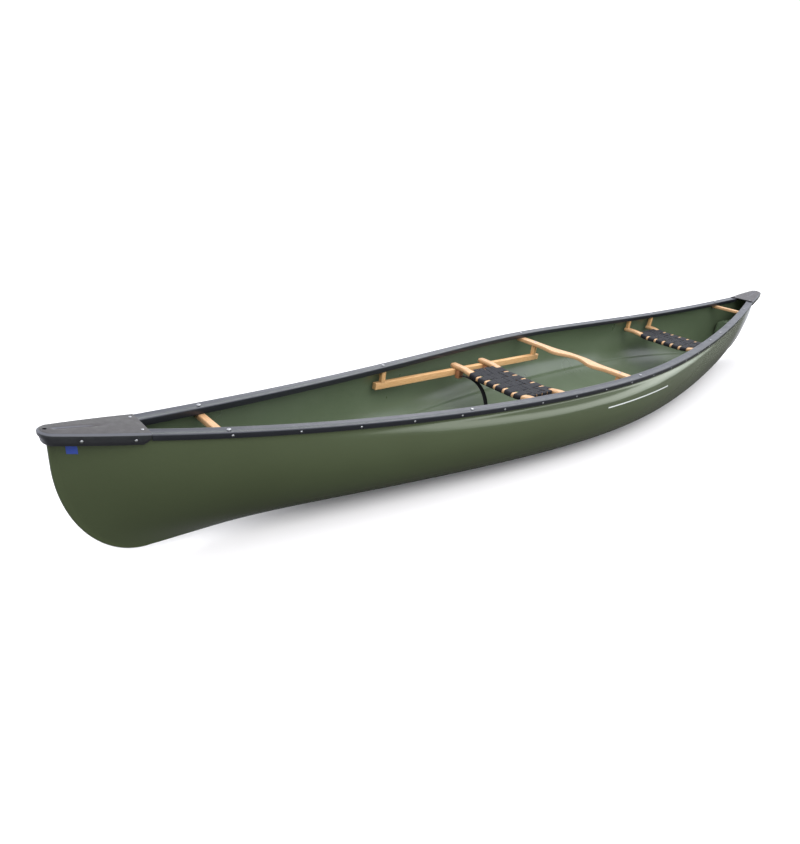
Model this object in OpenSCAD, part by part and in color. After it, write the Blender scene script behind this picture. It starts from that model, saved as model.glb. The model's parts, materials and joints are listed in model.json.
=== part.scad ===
// Open touring canoe with a sliding bow seat, ash fittings and black gunwales.
// Origin: lowest point of the keel amidships. +X to the bow, +Y to port, +Z up. Millimetres.

/* [Hull] */
// Length over the deck tips
length_overall = 4700; // [4200:10:5200]
// Width over the gunwales amidships
beam = 735; // [680:1:820]
// Keel to gunwale top amidships
depth = 330; // [300:2:380]
// Length over which the gunwales turn amidships
waist_round = 658; // [400:2:900]
// Rise of the gunwales at the tips
sheer_rise = 134; // [100:2:200]
// Rise of the keel at the ends
keel_rocker = 43; // [20:1:60]
// Thickness of the hull skin
skin = 6; // [4:0.5:9]
// How far the widest part of the side stands out past the rim amidships
tumblehome = 30; // [10:1:45]
// Reach of the curved stem, from its upright part to the forefoot
stem_sweep = 222; // [150:2:280]

/* [Gunwales and decks] */
// Width of the gunwale across its top
gunwale_w = 43; // [36:1:50]
// Height of the gunwale's outer skirt
skirt_h = 18; // [16:1:30]
// Height of the gunwale's inner box
inwale_h = 22; // [16:1:26]
// Distance between rivets along the gunwale
rivet_pitch = 203; // [150:1:250]
// Back edge of the bow deck, forward of midships
bow_deck_x = 2110; // [2050:2:2150]
// Back edge of the stern deck, aft of midships
stern_deck_x = 2090; // [2050:2:2150]
// Height of the deck's side flange
deck_flange = 31; // [26:1:40]
// Radius of the painter-line hole in each deck
painter_hole_r = 5; // [4:0.5:7]

/* [Thwarts and yoke] */
// Bow carry thwart, forward of midships
bow_thwart_x = 1908; // [1800:1:1950]
// Stern carry thwart, aft of midships
stern_thwart_x = 1885; // [1800:1:1950]
// Width of a carry thwart
thwart_w = 24; // [20:1:50]
// Thickness of the thwarts and the yoke
thwart_t = 18; // [16:1:24]
// Centre of the yoke's ends
yoke_x = -8; // [-20:1:20]
// Width of the yoke's ends
yoke_end_w = 42; // [36:1:50]

/* [Sliding seat] */
// Centre of the front cross rail, forward of midships, in the rest position
slide_seat_x = 591; // [560:1:640]
// Distance between the sliding seat's cross rails
slide_seat_pitch = 195; // [170:1:200]
// Half the length of the sliding seat's cross rails
slide_seat_half = 272; // [262:1:274]
// Depth of each seat's dip in the middle
seat_dip = 14; // [8:1:24]
// Width of the strap below the seat
strap_w = 25; // [20:1:30]

/* [Slide rails] */
// Centre line of each slide rail, either side of the keel line
slide_rail_y = 247; // [244:0.5:250]
// Top of the slide rail below the yoke
slide_rail_z = 241; // [238:1:246]
// Rise of the slide rails towards the bow, in degrees
slide_rail_slope = 1.75; // [1:0.05:2.2]
// Width of a slide rail
slide_rail_w = 22; // [20:1:24]
// Height of a slide rail
slide_rail_h = 29; // [26:1:32]
// Front hangers of the slide rails, forward of midships
hanger_x = 1048; // [1040:1:1055]

/* [Stern seat] */
// Centre of the stern seat's front cross rail, aft of midships
stern_seat_x = 1002; // [980:1:1020]
// Distance between the stern seat's cross rails
stern_seat_pitch = 216; // [200:1:225]
// Top of the stern seat's cross rails
stern_seat_z = 272; // [262:1:280]

/* [Seat timber and webbing] */
// Width of a seat cross rail
rail_w = 38; // [34:1:42]
// Thickness of a seat cross rail
rail_t = 20; // [18:1:22]
// Half the width of the woven seat over its cross rails
web_half = 145; // [140:1:148]
// Half the width of the woven seat between its cross rails, over the side rails
web_side = 172; // [170:1:176]
// Thickness of the woven webbing
web_t = 3; // [2:0.5:4]

/* [Hidden] */
$fn = 48;

half_len = length_overall / 2;
half_beam = beam / 2;
plan_fullness = 0.8;
sheer_power = 2.66;
rocker_power = 2.2;
mid_side_power = 2.27;
mid_depth_power = 5.4;
end_side_power = 0.95;
end_depth_power = 2.2;
stem_setback = 15;
rim_len = half_len - stem_setback;
end_wall = 24;
stem_straight_z = depth + 47;
stem_half = 7;
rim_drop = 6;
hull_inboard = 6;
tumble_start = 0.55;
tumble_end = 0.945;
stations = 40;
girth_steps = 13;
gunwale_stations = 56;

skirt_t = 3;
slot_w = 12;
gunwale_top_t = 4;
edge_round = 2;
bolt_inset = gunwale_w / 2;

deck_top_t = 4;
deck_wall = 3;
deck_nose_r = 38;
deck_nose_lean = 68;
hole_from_tip = 17;
deck_bulge = 3;
deck_proud = 4;
deck_rise = 5;
deck_nose_wall = 5;
deck_screw_drop = 15;

bolt_r = 3;
bolt_hole_r = 3.3;
bolt_head_r = 6.5;
bolt_head_h = 3;
nut_r = 5.6;
nut_h = 5;
rivet_r = 2.4;
rivet_head_r = 4.6;
rivet_head_h = 1.8;
rivet_drop = 10.5;
screw_r = 2;
screw_head_r = 4;

fit_gap = 0.4;
post_x = 22;
post_gap = 0.8;
hanger_w = 20;
hanger_shift = 3;
yoke_top = depth - inwale_h - fit_gap;
yoke_bottom = yoke_top - thwart_t;
slide_rail_end = 38;
slide_rail_len = (hanger_x - yoke_x) / cos(slide_rail_slope) + 2 * slide_rail_end;
guide_x = 34;
guide_y = 24;
guide_gap = 1.5;
guide_depth = slide_rail_h + 9;
side_rail_w = 22;
dip_reach = 208;
dip_ease = 112;
web_gap = 0.3;

// Shape of the hull ----------------------------------------------------------------------

function share(x) = min(abs(x) / half_len, 1);
// Half the width over the gunwales at x: straight runs to the tips, rounded amidships
function run(x) = sqrt(x * x + waist_round * waist_round) - waist_round;
function plan_y(x) = half_beam * pow(max(0, 1 - run(x) / run(half_len)), plan_fullness);
// Height of the gunwale's top and of the keel at x
function sheer_z(x) = depth + sheer_rise * pow(share(x), sheer_power);
function keel_z(x) = keel_rocker * pow(share(x), rocker_power);
function smooth(s) = s <= 0 ? 0 : s >= 1 ? 1 : s * s * (3 - 2 * s);
function side_power(t) = mid_side_power + (end_side_power - mid_side_power) * t * t;
function depth_power(t) = mid_depth_power + (end_depth_power - mid_depth_power) * t * t;
// The side leans in ever faster up to the gunwale's skirt
function tumble(s) = pow(max(0, min(1, s)), 2);
// Half the hull's width as a share of the rim's, at height share h of the side
function flare(t, h) = pow(1 - pow(1 - h, depth_power(t)), 1 / side_power(t));
function side_y(t, h, inset) =
    let (rim = max(plan_y(t * rim_len) - hull_inboard, stem_half) - inset,
         bulge = tumblehome * (1 - t * t))
    (rim + bulge) * flare(t, h) - bulge * tumble((h - tumble_start) / (tumble_end - tumble_start));
// Setback of the stem's curve at height share h
function stem_curve(h) =
    let (low = keel_z(half_len),
         straight = (stem_straight_z - low) / (sheer_z(half_len) - low),
         below = max(0, 1 - h / straight))
    stem_sweep * (1 - sqrt(1 - below * below));
// Height shares round the side, closest together at the keel and at the rim
function height_share(i) =
    let (s = i / girth_steps, turn = 90 * (1 - pow(1 - s, 2.4)))
    i == girth_steps ? 1 : 1 - pow(cos(turn), 2 / mid_depth_power);
// Heights of the skin's lowest point and of its rim at station t
function skin_low(t, inset) = keel_z(t * half_len) + inset;
function skin_high(t) = sheer_z(t * rim_len) - rim_drop;
// One point of the skin: station t from -1 to 1, girth step j from port rim to starboard rim.
// The inner skin ends short of the stem by end_inset.
function skin_point(t, j, inset, end_inset) =
    let (i = abs(j - girth_steps), h = height_share(i), low = skin_low(t, inset))
    [t * (rim_len - stem_curve(h)) - sign(t) * end_inset * pow(abs(t), 40),
     sign(girth_steps - j) * side_y(t, h, inset), low + (skin_high(t) - low) * h];
// Stations are closest together at the ends
function station(i) = sin(90 * (2 * i / stations - 1));
// Slope of the plan outline and of the sheer line at x
function plan_angle(x) = atan((plan_y(x + 1) - plan_y(x - 1)) / 2);
function sheer_angle(x) = atan((sheer_z(x + 1) - sheer_z(x - 1)) / 2);

module hull() {
    around = 2 * girth_steps;
    row = around + 1;
    inner = row * (stations + 1);
    points = concat(
        [for (i = [0:stations]) for (j = [0:around]) skin_point(station(i), j, 0, 0)],
        [for (i = [0:stations]) for (j = [0:around]) skin_point(station(i), j, skin, end_wall)]);
    quads = concat(
        [for (i = [0:stations - 1]) for (j = [0:around - 1])
            [i * row + j, i * row + j + 1, (i + 1) * row + j + 1, (i + 1) * row + j]],
        [for (i = [0:stations - 1]) for (j = [0:around - 1])
            [inner + i * row + j, inner + (i + 1) * row + j,
             inner + (i + 1) * row + j + 1, inner + i * row + j + 1]],
        [for (i = [0:stations - 1])
            [i * row, (i + 1) * row, inner + (i + 1) * row, inner + i * row]],
        [for (i = [0:stations - 1])
            [i * row + around, inner + i * row + around,
             inner + (i + 1) * row + around, (i + 1) * row + around]],
        [for (j = [0:girth_steps - 1]) let (a = stations * row)
            [a + j, a + j + 1, a + around - j - 1, a + around - j]],
        [for (j = [0:girth_steps - 1]) [around - j, around - j - 1, j + 1, j]],
        [for (j = [0:girth_steps - 1]) let (a = inner + stations * row)
            [a + around - j, a + around - j - 1, a + j + 1, a + j]],
        [for (j = [0:girth_steps - 1]) let (a = inner)
            [a + j, a + j + 1, a + around - j - 1, a + around - j]],
        [[stations * row, stations * row + around,
          inner + stations * row + around, inner + stations * row]],
        [[0, inner, inner + around, around]]);
    triangles = [for (q = quads) for (k = [0:1])
        let (f = k == 0 ? [q[0], q[1], q[2]] : [q[0], q[2], q[3]])
        if (f[0] != f[1] && f[1] != f[2] && f[0] != f[2]) f];
    color("darkolivegreen") polyhedron(points, triangles);
}

// Gunwales -------------------------------------------------------------------------------

// Section of a gunwale: u is the distance inboard of its outer edge, z the height above
// the sheer line. The slot between skirt and inner box takes the hull's rim.
gunwale_section = [
    [edge_round, 0], [gunwale_w - edge_round, 0], [gunwale_w, -edge_round],
    [gunwale_w, 2 - inwale_h], [gunwale_w - 2, -inwale_h],
    [skirt_t + slot_w, -inwale_h], [skirt_t + slot_w, -gunwale_top_t],
    [skirt_t, -gunwale_top_t], [skirt_t, -skirt_h], [0, -skirt_h], [0, -edge_round]];

module gunwale(side) {
    count = len(gunwale_section);
    aft = -stern_deck_x + 1;
    fore = bow_deck_x - 1;
    xs = [for (i = [0:gunwale_stations]) aft + (fore - aft) * i / gunwale_stations];
    points = [for (x = xs) for (p = gunwale_section)
        [x, side * (plan_y(x) - p[0]), sheer_z(x) + p[1]]];
    sides = [for (i = [0:gunwale_stations - 1]) for (j = [0:count - 1]) for (k = [0:1])
        let (a = i * count + j, b = i * count + (j + 1) % count, c = b + count, d = a + count)
        k == 0 ? [a, b, c] : [a, c, d]];
    caps = [[for (j = [count - 1:-1:0]) j],
        [for (j = [0:count - 1]) gunwale_stations * count + j]];
    faces = concat(sides, caps);
    flipped = [for (f = faces) [for (k = [len(f) - 1:-1:0]) f[k]]];
    color("dimgray") polyhedron(points, side > 0 ? flipped : faces);
}

module port_gunwale() {
    gunwale(1);
}

module starboard_gunwale() {
    gunwale(-1);
}

// x at a given distance from midships, measured along the gunwale
function along(s, x = 0) =
    let (step = norm([10, plan_y(x + 10) - plan_y(x), sheer_z(x + 10) - sheer_z(x)]))
    s < step ? x + 10 * s / step : along(s - step, x + 10);

module rivet() {
    cylinder(r = rivet_r, h = 12);
    rotate([180, 0, 0])
        intersection() {
            cylinder(r = rivet_head_r, h = rivet_head_h);
            translate([0, 0, rivet_head_h - 7]) sphere(r = 7);
        }
}

module gunwale_rivets(side) {
    color("silver")
        for (end = [-1, 1]) for (k = [0:9]) {
            x = end * along((k + 0.5) * rivet_pitch);
            translate([x, side * plan_y(x), sheer_z(x) - rivet_drop])
                rotate([0, 0, side * plan_angle(x)])
                    rotate([side * 90, 0, 0]) rivet();
        }
}

module port_gunwale_rivets() {
    gunwale_rivets(1);
}

module starboard_gunwale_rivets() {
    gunwale_rivets(-1);
}

// Decks ----------------------------------------------------------------------------------

// A deck rises from the sheer at its back edge to a little above the sheer at the tip.
function deck_angle(edge) =
    atan((sheer_z(half_len) + deck_rise - sheer_z(edge)) / (half_len - edge));
function deck_len(edge) =
    (half_len - edge + deck_proud * sin(deck_angle(edge))) / cos(deck_angle(edge));

// Half outline from the back edge to the round nose, drawn inset by a wall's thickness
function deck_side(edge, inset) =
    let (back = plan_y(edge) + 1, nose = deck_len(edge) - deck_nose_r, lean = deck_nose_lean,
         fore = nose + deck_nose_r * cos(lean), tip = deck_nose_r * sin(lean))
    concat(
        [for (i = [0:10]) let (s = i / 11)
            [fore * s, back + (tip - back) * s + 4 * deck_bulge * s * (1 - s) - inset]],
        [for (i = [0:8]) let (a = lean * (1 - i / 8))
            [nose + (deck_nose_r - inset) * cos(a), (deck_nose_r - inset) * sin(a)]]);

module deck_outline(edge, inset, back) {
    half = deck_side(edge, inset);
    last = len(half) - 2;
    polygon(concat([[-back, half[0][1]]], half,
        [for (i = [last:-1:0]) [half[i][0], -half[i][1]]], [[-back, -half[0][1]]]));
}

// The painter hole goes through the top close to the tip
function deck_hole_s(edge) = deck_len(edge) - hole_from_tip;
screw_rows = [36, 158];

module deck(edge) {
    translate([edge, 0, sheer_z(edge)])
        rotate([0, -deck_angle(edge), 0])
            difference() {
                translate([0, 0, deck_proud - deck_flange])
                    linear_extrude(deck_flange) deck_outline(edge, 0, 0);
                translate([-deck_nose_wall, 0, deck_proud - deck_flange - 1])
                    linear_extrude(deck_flange + 1 - deck_top_t) deck_outline(edge, deck_wall, 1);
                translate([deck_hole_s(edge), 0, -20]) cylinder(r = painter_hole_r, h = 40);
                // the nose stands plumb below its rim
                rotate([0, deck_angle(edge), 0])
                    translate([half_len - edge, -50, -100]) cube([30, 100, 200]);
            }
}

module deck_screws(edge) {
    translate([edge, 0, sheer_z(edge)])
        rotate([0, -deck_angle(edge), 0])
            for (side = [-1, 1]) {
                for (s = screw_rows)
                    translate([s, side * (deck_edge_y(edge, s) + 0.8), -deck_screw_drop])
                        rotate([side * 90, 0, side * deck_lean(edge)]) screw(11);
                translate([13, side * (plan_y(edge) - 28), deck_proud + 0.8])
                    rotate([180, 0, 0]) screw(10);
            }
}

function deck_fore(edge) = deck_len(edge) - deck_nose_r * (1 - cos(deck_nose_lean));
function deck_edge_y(edge, s) =
    let (back = plan_y(edge) + 1, tip = deck_nose_r * sin(deck_nose_lean),
         part = s / deck_fore(edge))
    back + (tip - back) * part + 4 * deck_bulge * part * (1 - part);
function deck_lean(edge) =
    atan((deck_edge_y(edge, 80) - deck_edge_y(edge, 70)) / 10);

// A screw along +Z with its head at the origin
module screw(reach) {
    cylinder(r1 = screw_head_r, r2 = screw_head_r - 0.6, h = 1.6);
    cylinder(r = screw_r, h = reach);
}

module bow_deck() {
    color([0.27, 0.25, 0.23]) deck(bow_deck_x);
}

module stern_deck() {
    color([0.27, 0.25, 0.23]) rotate([0, 0, 180]) deck(stern_deck_x);
}

module bow_deck_screws() {
    color("silver") deck_screws(bow_deck_x);
}

module stern_deck_screws() {
    color("silver") rotate([0, 0, 180]) deck_screws(stern_deck_x);
}

// Float tanks ----------------------------------------------------------------------------

tank_gap = 5;
tank_front = 1955;
tank_back = 2085;
tank_half = 68;
tank_side_z = 246;
tank_crown = 34;

// Height share on the inner skin at x and at height z, found by repeated correction
function room_share(x, z, h = 0.5, rounds = 4) =
    let (t = min(1, x / (rim_len - stem_curve(h))), low = skin_low(t, skin),
         next = max(0, min(1, (z - low) / (skin_high(t) - low))))
    rounds == 0 ? next : room_share(x, z, next, rounds - 1);
// Half the tank's room inside the skin at x and at height z
function room_y(x, z) =
    let (h = room_share(x, z), t = min(1, (x + tank_gap) / (rim_len - stem_curve(h))))
    max(0, side_y(t, h, skin) - tank_gap);

// Lowest height at x where the room is wide enough for the tank's foot
function tank_low(x, z = 60) = room_y(x, z) > 6 ? z : tank_low(x, z + 3);

function tank_ring(x) =
    let (low = tank_low(x),
         side = [for (i = [0:6]) let (z = low + (tank_side_z - low) * i / 6)
             [min(tank_half, room_y(x, z)), z]],
         top = side[6][0],
         half = concat(side, [for (a = [15:15:75])
             [top * cos(a), tank_side_z + tank_crown * sin(a)]]))
    concat([for (p = half) [x, p[0], p[1]]],
        [[x, 0, tank_side_z + tank_crown]],
        [for (i = [len(half) - 1:-1:0]) [x, -half[i][0], half[i][1]]]);

module tank() {
    steps = 10;
    rings = [for (i = [0:steps]) tank_ring(tank_front + (tank_back - tank_front) * i / steps)];
    count = len(rings[0]);
    sides = [for (i = [0:steps - 1]) for (j = [0:count - 1]) for (k = [0:1])
        let (a = i * count + j, b = i * count + (j + 1) % count, c = b + count, d = a + count)
        k == 0 ? [a, c, b] : [a, d, c]];
    caps = [[for (j = [0:count - 1]) j],
        [for (j = [count - 1:-1:0]) steps * count + j]];
    polyhedron([for (r = rings) for (p = r) p], concat(sides, caps));
}

module bow_float_tank() {
    color("darkseagreen") tank();
}

module stern_float_tank() {
    color("darkseagreen") rotate([0, 0, 180]) tank();
}

// Fasteners ------------------------------------------------------------------------------

function bolt_y(x) = plan_y(x) - bolt_inset;

// A bolt with its head's underside at z = 0 and its shank pointing down
module bolt(reach) {
    intersection() {
        cylinder(r = bolt_head_r, h = bolt_head_h);
        translate([0, 0, bolt_head_h - 10]) sphere(r = 10);
    }
    translate([0, 0, -reach]) cylinder(r = bolt_r, h = reach);
}

// A washer and a nut whose upper face is at z = 0
module nut() {
    translate([0, 0, -1.2])
        difference() {
            cylinder(r = nut_r + 2, h = 1.2);
            translate([0, 0, -1]) cylinder(r = bolt_r + 0.1, h = 4);
        }
    translate([0, 0, -1.2 - nut_h])
        difference() {
            cylinder(r = nut_r, h = nut_h, $fn = 6);
            translate([0, 0, -1]) cylinder(r = bolt_r + 0.1, h = nut_h + 2);
        }
}

module bolt_hole(x, y, low, high) {
    translate([x, y, low]) cylinder(r = bolt_hole_r, h = high - low);
}

// Thwarts and yoke -----------------------------------------------------------------------

nut_room = nut_h + 3;

module rounded_bar(size, r) {
    linear_extrude(size[2], center = true)
        difference() {
            square([size[0], size[1]], center = true);
            for (sx = [-1, 1]) for (sy = [-1, 1])
                translate([sx * size[0] / 2, sy * size[1] / 2])
                    difference() {
                        square(2 * r, center = true);
                        translate([-sx * r, -sy * r]) circle(r = r);
                    }
        }
}

module carry_thwart(x) {
    half = plan_y(x + thwart_w / 2) - 15;
    difference() {
        translate([x, 0, sheer_z(x) - inwale_h - fit_gap])
            rotate([0, -sheer_angle(x), 0])
                translate([0, 0, -thwart_t / 2])
                    rotate([90, 0, 0]) rounded_bar([thwart_w, thwart_t, 2 * half], 4);
        for (side = [-1, 1])
            bolt_hole(x, side * bolt_y(x), sheer_z(x) - 80, sheer_z(x));
    }
}

module bow_carry_thwart() {
    color("burlywood") carry_thwart(bow_thwart_x);
}

module stern_carry_thwart() {
    color("burlywood") rotate([0, 0, 180]) carry_thwart(stern_thwart_x);
}

function bump(y, reach) = abs(y) < reach ? (1 + cos(180 * y / reach)) / 2 : 0;
// Edges of the yoke: two shoulder lobes with a neck notch between them, and a bowed back
function yoke_front(y) =
    yoke_x + yoke_end_w / 2 + 18 * exp(-pow((abs(y) - 115) / 45, 2)) - 26 * bump(y, 90);
function yoke_back(y) = yoke_x - yoke_end_w / 2 - 23 * bump(y, 150);

module yoke() {
    half = half_beam - 17;
    ys = [for (i = [0:56]) -half + 2 * half * i / 56];
    outline = concat([for (y = ys) [yoke_front(y), y]],
        [for (i = [56:-1:0]) [yoke_back(ys[i]), ys[i]]]);
    color("burlywood")
        difference() {
            translate([0, 0, yoke_bottom]) linear_extrude(thwart_t) polygon(outline);
            for (side = [-1, 1]) {
                bolt_hole(yoke_x, side * bolt_y(yoke_x), yoke_bottom - 1, yoke_top + 1);
                bolt_hole(yoke_x, side * slide_rail_y, yoke_bottom - 1, yoke_top + 1);
            }
        }
}

thwart_bolt_xs = [bow_thwart_x, yoke_x, -stern_thwart_x];

module thwart_bolts() {
    color("silver")
        for (x = thwart_bolt_xs) for (side = [-1, 1])
            translate([x, side * bolt_y(x), sheer_z(x)])
                bolt(inwale_h + thwart_t + nut_room);
}

module thwart_nuts() {
    color("silver")
        for (x = thwart_bolt_xs) for (side = [-1, 1])
            translate([x, side * bolt_y(x), sheer_z(x) - inwale_h - thwart_t - 2.6])
                nut();
}

// Slide rails ----------------------------------------------------------------------------

// Height of the slide rail's top at x
function rail_top(x) = slide_rail_z + (x - yoke_x) * tan(slide_rail_slope);

module slide_rail(side) {
    color("burlywood")
        difference() {
            translate([yoke_x, side * slide_rail_y, rail_top(yoke_x)])
                rotate([0, -slide_rail_slope, 0])
                    translate([slide_rail_len / 2 - slide_rail_end, 0, -slide_rail_h / 2])
                        rotate([90, 0, 0])
                            rounded_bar([slide_rail_len, slide_rail_h, slide_rail_w], 3);
            for (x = [yoke_x, hanger_x])
                bolt_hole(x, side * slide_rail_y, rail_top(x) - 60, rail_top(x) + 20);
        }
}

module port_slide_rail() {
    slide_rail(1);
}

module starboard_slide_rail() {
    slide_rail(-1);
}

// A post between two heights with a bolt hole at y, its body moved inboard by `shift`
module post(x, y, low, high, width, shift = 0) {
    color("burlywood")
        difference() {
            translate([x, y - sign(y) * shift, (low + high) / 2])
                rounded_bar([post_x, width, high - low], 2);
            bolt_hole(x, y, low - 1, high + 1);
        }
}

module front_hanger(side) {
    post(hanger_x, side * slide_rail_y, rail_top(hanger_x) + post_gap,
        sheer_z(hanger_x) - inwale_h - post_gap, hanger_w, hanger_shift);
}

module port_front_hanger() {
    front_hanger(1);
}

module starboard_front_hanger() {
    front_hanger(-1);
}

module rear_post(side) {
    post(yoke_x, side * slide_rail_y, rail_top(yoke_x) + post_gap,
        yoke_bottom - fit_gap, slide_rail_w);
}

module port_rear_post() {
    rear_post(1);
}

module starboard_rear_post() {
    rear_post(-1);
}

rail_bolts = [[hanger_x, sheer_z(hanger_x)], [yoke_x, yoke_top]];

module slide_rail_bolts() {
    color("silver")
        for (b = rail_bolts) for (side = [-1, 1])
            translate([b[0], side * slide_rail_y, b[1]])
                bolt(b[1] - rail_top(b[0]) + slide_rail_h + nut_room);
}

module slide_rail_nuts() {
    color("silver")
        for (b = rail_bolts) for (side = [-1, 1])
            translate([b[0], side * slide_rail_y, rail_top(b[0]) - slide_rail_h - 0.6])
                nut();
}

// Seats ----------------------------------------------------------------------------------

// Height of a contoured cross rail below its ends, at y
function dip(y, depth) = depth * smooth((dip_reach - abs(y)) / dip_ease);

// A cross rail with its ends' lower face at z = 0, bent down by `depth` in the middle
module cross_rail(half, depth) {
    round_r = rail_t / 2;
    steps = 40;
    ys = [for (i = [0:steps]) -half + round_r + 2 * (half - round_r) * i / steps];
    outline = concat(
        [for (y = ys) [y, rail_t - dip(y, depth)]],
        [for (a = [75:-15:-75]) [half - round_r + round_r * cos(a), round_r + round_r * sin(a)]],
        [for (i = [steps:-1:0]) [ys[i], -dip(ys[i], depth)]],
        [for (a = [255:-15:105]) [round_r - half + round_r * cos(a), round_r + round_r * sin(a)]]);
    rotate([90, 0, 90]) linear_extrude(rail_w, center = true) polygon(outline);
}

// A sheet of webbing that follows the cross rails' upper faces
module web_sheet(half, reach, depth) {
    steps = 24;
    ys = [for (i = [0:steps]) -half + 2 * half * i / steps];
    outline = concat(
        [for (y = ys) [y, rail_t + web_gap - dip(y, depth)]],
        [for (i = [steps:-1:0]) [ys[i], rail_t + web_gap + web_t - dip(ys[i], depth)]]);
    rotate([90, 0, 90]) linear_extrude(reach, center = true) polygon(outline);
}

// The woven seat: over both cross rails, and wider between them to reach over the side rails
module web_slab(pitch, depth) {
    color([0.22, 0.22, 0.24]) {
        web_sheet(web_half, pitch + rail_w, depth);
        web_sheet(web_side, pitch - rail_w - 2, depth);
    }
}

// A side rail between the two cross rails, under the web's edge
module side_rail(pitch, depth) {
    y = web_side - 2 - side_rail_w / 2;
    color("burlywood")
        translate([0, y, rail_t / 2 - dip(y, depth) - 1])
            rotate([90, 0, 0])
                rounded_bar([pitch - rail_w - fit_gap, rail_t - 3, side_rail_w], 4);
}

// The sliding seat stands on the slide rails and shares their slope.
module on_slide_rails() {
    x = slide_seat_x - slide_seat_pitch / 2;
    translate([x, 0, rail_top(x)]) rotate([0, -slide_rail_slope, 0]) children();
}

seat_lift = 0.3;

module slide_cross_rail(place) {
    color("burlywood")
        on_slide_rails()
            translate([place * slide_seat_pitch / 2, 0, seat_lift])
                cross_rail(slide_seat_half, seat_dip);
}

module slide_seat_front_rail() {
    slide_cross_rail(1);
}

module slide_seat_rear_rail() {
    slide_cross_rail(-1);
}

module slide_side_rail(side) {
    on_slide_rails()
        translate([0, 0, seat_lift]) mirror([0, side > 0 ? 0 : 1, 0])
            side_rail(slide_seat_pitch, seat_dip);
}

module slide_seat_port_side() {
    slide_side_rail(1);
}

module slide_seat_starboard_side() {
    slide_side_rail(-1);
}

module slide_seat_webbing() {
    on_slide_rails() translate([0, 0, seat_lift]) web_slab(slide_seat_pitch, seat_dip);
}

guide_centre_y = slide_rail_y - slide_rail_w / 2 - guide_gap - guide_y / 2;

// Blocks under the cross rails that run along the inboard faces of the slide rails
module seat_guide_blocks() {
    color("peru")
        on_slide_rails()
            for (place = [-1, 1]) for (side = [-1, 1])
                translate([place * slide_seat_pitch / 2, side * guide_centre_y, -guide_depth / 2])
                    rounded_bar([guide_x, guide_y, guide_depth], 5);
}

module guide_block_screws() {
    color("silver")
        on_slide_rails()
            for (place = [-1, 1]) for (side = [-1, 1])
                translate([place * slide_seat_pitch / 2, side * guide_centre_y, -guide_depth - 1])
                    screw(guide_depth + 14);
}

// Curve of the loose strap, across the boat: out from a guide block, then down to the floor
strap_ends = [[-208, -12], [-105, 15], [-26, -16], [-20, -218]];

function bezier(p, s) =
    pow(1 - s, 3) * p[0] + 3 * s * pow(1 - s, 2) * p[1]
    + 3 * s * s * (1 - s) * p[2] + pow(s, 3) * p[3];

module seat_strap() {
    strap_t = 2.5;
    steps = 24;
    curve = [for (i = [0:steps]) bezier(strap_ends, i / steps)];
    outline = concat(curve, [for (i = [steps:-1:0])
        let (a = curve[max(0, i - 1)], b = curve[min(steps, i + 1)], d = (b - a) / norm(b - a))
        curve[i] + strap_t * [-d[1], d[0]]]);
    color([0.1, 0.1, 0.1])
        on_slide_rails()
            translate([slide_seat_pitch / 2, 0, -seat_dip])
                rotate([90, 0, 90]) linear_extrude(strap_w, center = true) polygon(outline);
}

// The stern seat hangs level below the gunwales.
module at_stern_seat(x) {
    translate([x, 0, stern_seat_z - rail_t]) children();
}

stern_front_x = -stern_seat_x;
stern_rear_x = -stern_seat_x - stern_seat_pitch;
stern_mid_x = (stern_front_x + stern_rear_x) / 2;
stern_rail_past = 11;

module stern_cross_rail(x) {
    color("burlywood")
        difference() {
            at_stern_seat(x) cross_rail(bolt_y(x) + stern_rail_past, seat_dip);
            for (side = [-1, 1])
                bolt_hole(x, side * bolt_y(x), stern_seat_z - 50, stern_seat_z + 50);
        }
}

module stern_seat_front_rail() {
    stern_cross_rail(stern_front_x);
}

module stern_seat_rear_rail() {
    stern_cross_rail(stern_rear_x);
}

module stern_seat_port_side() {
    at_stern_seat(stern_mid_x) side_rail(stern_seat_pitch, seat_dip);
}

module stern_seat_starboard_side() {
    at_stern_seat(stern_mid_x) mirror([0, 1, 0]) side_rail(stern_seat_pitch, seat_dip);
}

module stern_seat_webbing() {
    at_stern_seat(stern_mid_x) web_slab(stern_seat_pitch, seat_dip);
}

module stern_hangers(x) {
    for (side = [-1, 1])
        post(x, side * bolt_y(x), stern_seat_z + fit_gap,
            sheer_z(x) - inwale_h - post_gap, hanger_w, hanger_shift);
}

module stern_seat_front_hangers() {
    stern_hangers(stern_front_x);
}

module stern_seat_rear_hangers() {
    stern_hangers(stern_rear_x);
}

module stern_seat_bolts() {
    color("silver")
        for (x = [stern_front_x, stern_rear_x]) for (side = [-1, 1])
            translate([x, side * bolt_y(x), sheer_z(x)])
                bolt(sheer_z(x) - stern_seat_z + rail_t + nut_room);
}

module stern_seat_nuts() {
    color("silver")
        for (x = [stern_front_x, stern_rear_x]) for (side = [-1, 1])
            translate([x, side * bolt_y(x), stern_seat_z - rail_t - 0.2]) nut();
}

// Assembly -------------------------------------------------------------------------------

hull();
port_gunwale();
starboard_gunwale();
port_gunwale_rivets();
starboard_gunwale_rivets();
bow_deck();
stern_deck();
bow_deck_screws();
stern_deck_screws();
bow_float_tank();
stern_float_tank();
bow_carry_thwart();
stern_carry_thwart();
yoke();
thwart_bolts();
thwart_nuts();
port_slide_rail();
starboard_slide_rail();
port_front_hanger();
starboard_front_hanger();
port_rear_post();
starboard_rear_post();
slide_rail_bolts();
slide_rail_nuts();
slide_seat_front_rail();
slide_seat_rear_rail();
slide_seat_port_side();
slide_seat_starboard_side();
slide_seat_webbing();
seat_guide_blocks();
guide_block_screws();
seat_strap();
stern_seat_front_rail();
stern_seat_rear_rail();
stern_seat_port_side();
stern_seat_starboard_side();
stern_seat_webbing();
stern_seat_front_hangers();
stern_seat_rear_hangers();
stern_seat_bolts();
stern_seat_nuts();
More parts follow.
